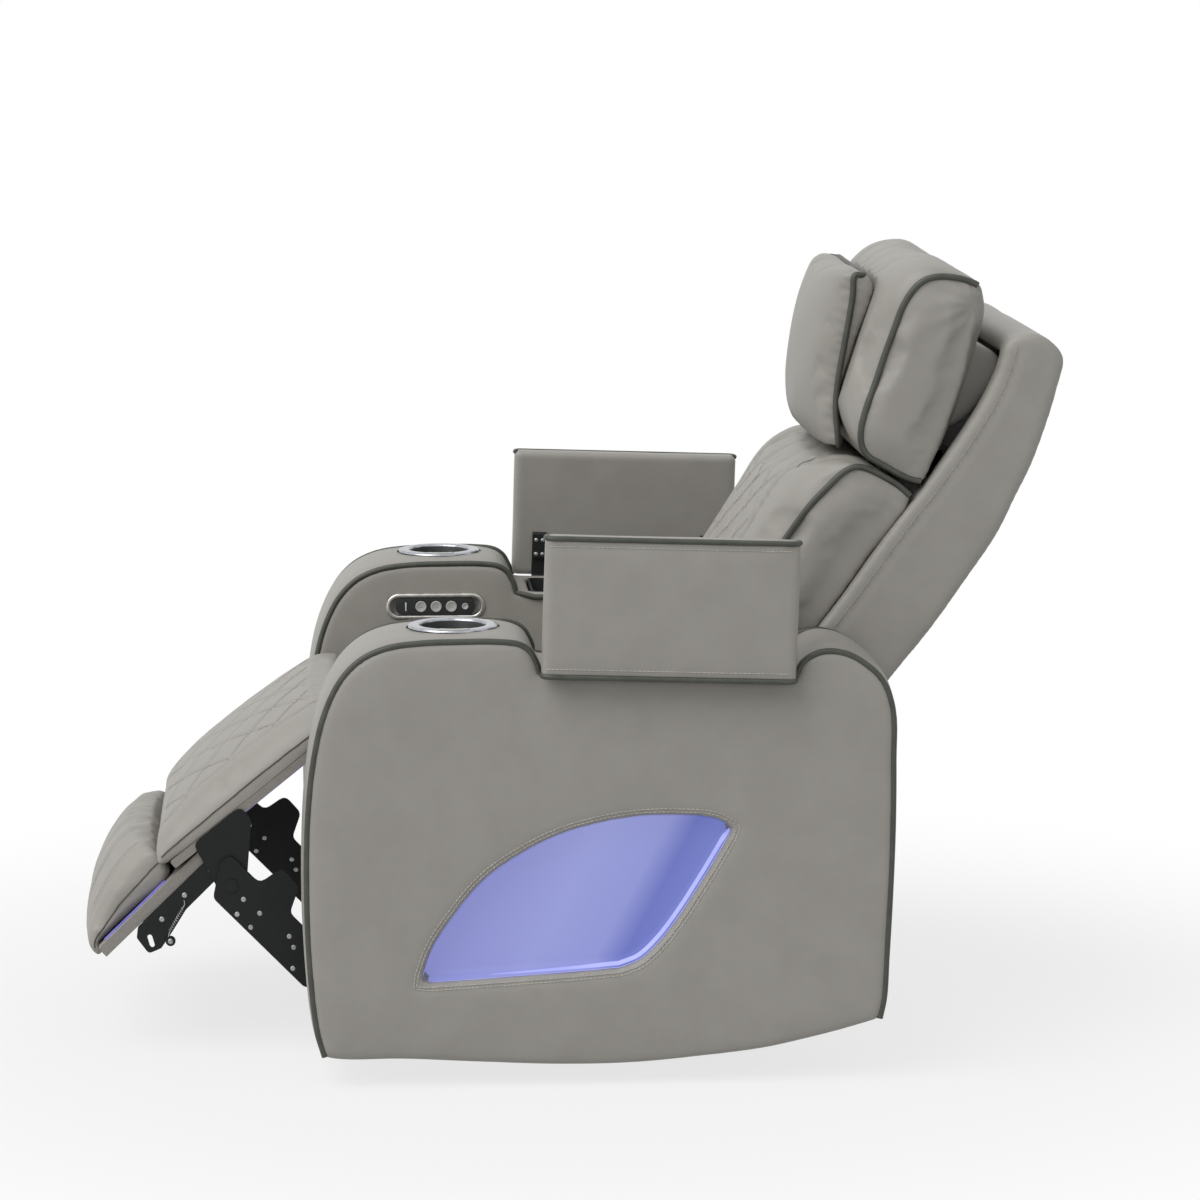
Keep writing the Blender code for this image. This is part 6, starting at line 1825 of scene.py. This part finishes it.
@dataclass
class Headrest:
    """The headrest block with its piped gussets, and the pillow on its front."""

    block: PaddedForm = PaddedForm(
        "head_pad", "headrest", ("head_section",), HEAD,
        side=((0.293, -0.011), (0.294, -0.040), (0.288, -0.070), (0.272, -0.095), (0.240, -0.109),
              (0.195, -0.114), (0.136, -0.115), (0.085, -0.115), (0.034, -0.109), (0.0140, -0.094),
              (0.0060, -0.073), (-0.0015, -0.041), (-0.0055, -0.002), (0.030, 0.005),
              (0.103, 0.010), (0.163, 0.010), (0.203, 0.006), (0.259, -0.001)),
        centre=((0.296, -0.010), (0.306, -0.058), (0.302, -0.104), (0.281, -0.130), (0.248, -0.142),
                (0.195, -0.142), (0.136, -0.142), (0.085, -0.142), (0.050, -0.132), (0.026, -0.112),
                (0.0125, -0.080), (0.0045, -0.041), (0.000, -0.004), (0.030, 0.006), (0.103, 0.013),
                (0.163, 0.013), (0.203, 0.009), (0.259, 0.001)),
        half_width=0.262, voxel=0.0068, cap=0.008, fill=0.8, power=2.6, edge=0.003,
        keep=lambda u, w: (np.maximum(u, -0.0060),
                           np.minimum(np.maximum(w, -0.1419),
                                      0.002 + 0.012 * np.clip((u - 0.030) / 0.073, -0.5, 1.0))))
    pillow: PaddedForm = PaddedForm(
        "pillow_cover", "headrest", ("head_pillow",), HEAD,
        side=((0.246, -0.1423), (0.252, -0.162), (0.249, -0.176), (0.225, -0.1703),
              (0.184, -0.1633), (0.114, -0.1533), (0.060, -0.1400), (0.016, -0.1225),
              (0.004, -0.1135), (0.026, -0.1150), (0.058, -0.1400), (0.080, -0.1423),
              (0.160, -0.1423)),
        centre=((0.246, -0.1423), (0.256, -0.1683), (0.249, -0.1963), (0.209, -0.2083),
                (0.163, -0.2083), (0.104, -0.1993), (0.060, -0.1873), (0.020, -0.1683),
                (0.001, -0.1450), (0.008, -0.1240), (0.055, -0.1390), (0.080, -0.1423),
                (0.160, -0.1423)),
        half_width=0.175, voxel=0.0052, cap=0.006, fill=0.75, power=2.3,
        keep=lambda u, w: (u, np.minimum(w, -0.1422 + 0.030 * np.clip((0.062 - u) / 0.050, 0, 1))))
    wedge_points: Points = ((0.204, 0.004), (0.207, 0.022), (0.198, 0.054), (0.180, 0.060),
                            (0.145, 0.053), (0.112, 0.041), (0.086, 0.022), (0.080, 0.004))
    wedge_half: float = 0.205

    def build(self) -> None:
        """Makes the block, the pillow and the wedge."""
        self.head()
        self.cushion()
        self.wedge()

    def wedge(self) -> None:
        """The padded wedge behind the block, which hides the gap to the shell's pocket."""
        piece = as_object(skin(slab(HEAD, self.wedge_points, self.wedge_half)), "head_wedge")
        remeshed(piece, 0.0062)
        piece.data.shade_smooth()
        upholster(piece, "headrest")

    def head(self) -> None:
        """The block: welts on both gussets, folds drawn from its upper rear corner."""
        def sewn(co: Array, normals: Array) -> Array:
            """Folds fan out over the gusset from where the cover is pulled to the rear."""
            u, w = HEAD.split(co)
            side = np.abs(normals[:, 0]) > 0.6
            reach = np.hypot(u - 0.262, w + 0.012)
            fan = np.sin(np.arctan2(w + 0.012, 0.262 - u) * 13 + rumple(co, 0.05, 2.0))
            pulled = 0.0011 * fan * np.exp(-reach / 0.075) * np.clip(reach / 0.02, 0, 1)
            return np.where(side, pulled, rumple(co, 0.09, 0.0010, (0.7, 1.0, 1.0), 31.0))

        pad = self.block.build(sewn)
        laid_welts("head_welts", self.block.seams(0, 12), pad, "headrest")

    def cushion(self) -> None:
        """The pillow: one welt down both sides and over its top, soft dents near the corners."""
        edges = self.pillow.seams(1, 9)

        def sewn(co: Array, normals: Array) -> Array:
            """Small gathers along the side seams."""
            near = line_distance(co, *edges)
            u, _ = HEAD.split(co)
            gather = np.sin(u * 420 + rumple(co, 0.03, 3.0)) * np.exp(-(near / 0.016) ** 2)
            return 0.0005 * gather + rumple(co, 0.08, 0.0010, seed=41.0)

        pad = self.pillow.build(sewn)
        over = [edges[0][0].lerp(edges[1][0], i / 40) for i in range(1, 40)]
        laid_welts("pillow_welts", [edges[0][::-1] + over + edges[1]], pad, "headrest", 0.0044)


# Everything that keeps its solid


@dataclass
class Framework:
    """The steel, timber and moulded nodes whose solids stay, each with the finish of its slot."""

    drives: Sequence[tuple[float, ...]] = ((-0.055, 0.302, -0.030, 0.050),      # X, Z, low Y, high Y
                                           (0.075, 0.231, -0.018, 0.045))

    def build(self, frame: dict[str, object]) -> None:
        """Gives every node that is still shown the finish of its slot.
        """
        slots = {row["node"]: Slot(row["material_slot"]) for row in frame["record"]["subparts"]}
        for name, node in frame["nodes"].items():
            if node.hide_render:
                continue
            finish = SLOT_FINISHES[slots[name]].build()
            for place in range(len(node.material_slots)):
                node.material_slots[place].material = finish
            LOG.info("%s keeps its solid", name)
        self.motors()

    def motors(self) -> None:
        """Ribs and end screws of the two gear motors."""
        ribs, screws = [], []
        rear = Vector((0, 1, 0))
        ring = ((0.0200, -0.001), (0.0216, -0.001), (0.0216, 0.001), (0.0200, 0.001),
                (0.0200, -0.001))
        for x, z, low, high in self.drives:
            for y in (low + 0.006, low + 0.012, high - 0.012, high - 0.006):
                ribs.append(lathe(ring, Vector((x, y, z)), rear, 48))
            for turn in range(3):
                angle = math.radians(90 + 120 * turn)
                spot = Vector((x + 0.014 * math.cos(angle), high, z + 0.014 * math.sin(angle)))
                screws.append(pan_head(spot, rear, 0.0024, 0.0014))
        dress(merged("motor_ribs", ribs), BLACK_ABS, "base")
        dress(merged("motor_screws", screws, 40), ZINC, "base")


@dataclass
class Studio:
    """A pale floor, plain soft light, and the camera of the photograph."""

    camera_place: Triple = (6.4776, -0.3394, 1.5904)
    camera_turn: Triple = (81.357, 0.0, 86.504)
    lens: float = 135.0
    dome: float = 0.57
    sun: float = 2.0
    sun_from: Triple = (0.38, -0.52, 0.76)
    white_share: float = 0.76

    def build(self) -> None:
        """Makes the world, the sun, the floor and the camera."""
        self.world()
        lamp = bpy.data.lights.new("soft_sun", "SUN")
        lamp.energy = self.sun
        lamp.angle = math.radians(50)
        self.placed(lamp, (0.0, 0.0, 3.0), Vector(self.sun_from).to_track_quat("Z", "Y").to_euler())
        self.floor()
        camera = bpy.data.cameras.new("photo_camera")
        camera.lens = self.lens
        camera.sensor_width = 36.0
        camera.clip_end = 60.0
        made = self.placed(camera, self.camera_place, [math.radians(a) for a in self.camera_turn])
        bpy.context.scene.camera = made
        bpy.context.scene.view_settings.view_transform = "Standard"

    def placed(self, data: bpy.types.ID, place: Sequence[float], turn: Sequence[float]) -> Piece:
        """Puts a lamp or camera in the scene.

        Args:
            data: The lamp or camera.
            place: Its place.
            turn: Its turn, as Euler angles.

        Returns:
            The object.
        """
        made = linked(data.name, data)
        made.location = place
        made.rotation_euler = turn
        return made

    def seen(self, tree: Tree) -> Socket:
        """1 for rays from the camera and for mirror and glass rays, otherwise 0."""
        path = add_node(tree, "ShaderNodeLightPath").outputs
        glass = add_node(tree, "ShaderNodeMath", {0: path["Is Glossy Ray"],
                                                  1: path["Is Transmission Ray"]}, operation="MAXIMUM")
        return add_node(tree, "ShaderNodeMath", {0: path["Is Camera Ray"], 1: glass.outputs[0]},
                        operation="MAXIMUM").outputs[0]

    def world(self) -> None:
        """An even dome that lights plainly and shows white."""
        world = bpy.data.worlds.new("dome")
        bpy.context.scene.world = world
        world.use_nodes = True
        tree = world.node_tree
        background = tree.nodes["Background"]
        background.inputs["Color"].default_value = (1.0, 1.0, 1.0, 1.0)
        strength = add_node(tree, "ShaderNodeMapRange", {"Value": self.seen(tree), "To Min": self.dome,
                                                         "To Max": 1.0})
        tree.links.new(strength.outputs[0], background.inputs["Strength"])

    def floor(self) -> None:
        """A wide pale floor that keeps a soft shadow and fades to white round it."""
        bm = bmesh.new()
        bmesh.ops.create_grid(bm, x_segments=2, y_segments=2, size=9.0)
        floor = as_object(bm, "floor")
        made = bpy.data.materials.new("studio_floor")
        made.use_nodes = True
        tree = made.node_tree
        paint = tree.nodes["Principled BSDF"]
        paint.inputs["Base Color"].default_value = linear("#C9C9C8")
        paint.inputs["Roughness"].default_value = 0.9
        paint.inputs["Specular IOR Level"].default_value = 0.1
        where = add_node(tree, "ShaderNodeTexCoord").outputs["Object"]
        reach = add_node(tree, "ShaderNodeVectorMath", {0: where}, operation="LENGTH").outputs["Value"]
        far = add_node(tree, "ShaderNodeMapRange", {"Value": reach, "From Min": 0.7, "From Max": 1.7,
                                                    "To Min": self.white_share, "To Max": 1.0},
                       interpolation_type="SMOOTHSTEP").outputs[0]
        share = add_node(tree, "ShaderNodeMath", {0: far, 1: self.seen(tree)}, operation="MULTIPLY")
        white = add_node(tree, "ShaderNodeEmission", {"Strength": 1.0})
        mixed = add_node(tree, "ShaderNodeMixShader", {0: share.outputs[0], 1: paint.outputs[0],
                                                       2: white.outputs[0]})
        tree.links.new(mixed.outputs[0], tree.nodes["Material Output"].inputs["Surface"])
        floor.data.materials.append(made)


def main() -> None:
    """Builds the chair's looks in order."""
    logging.basicConfig(level=logging.INFO, format="%(message)s")
    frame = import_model()
    Studio().build()
    for side in Side:
        Arm(side).build()
        CupWell(side).build()
        Lid(side).build()
    ControlPad().build()
    Seat().build()
    LegRest().build()
    Flipper().build()
    Linkage().build()
    Back().build()
    Headrest().build()
    Framework().build(frame)


if __name__ == "__main__":
    main()
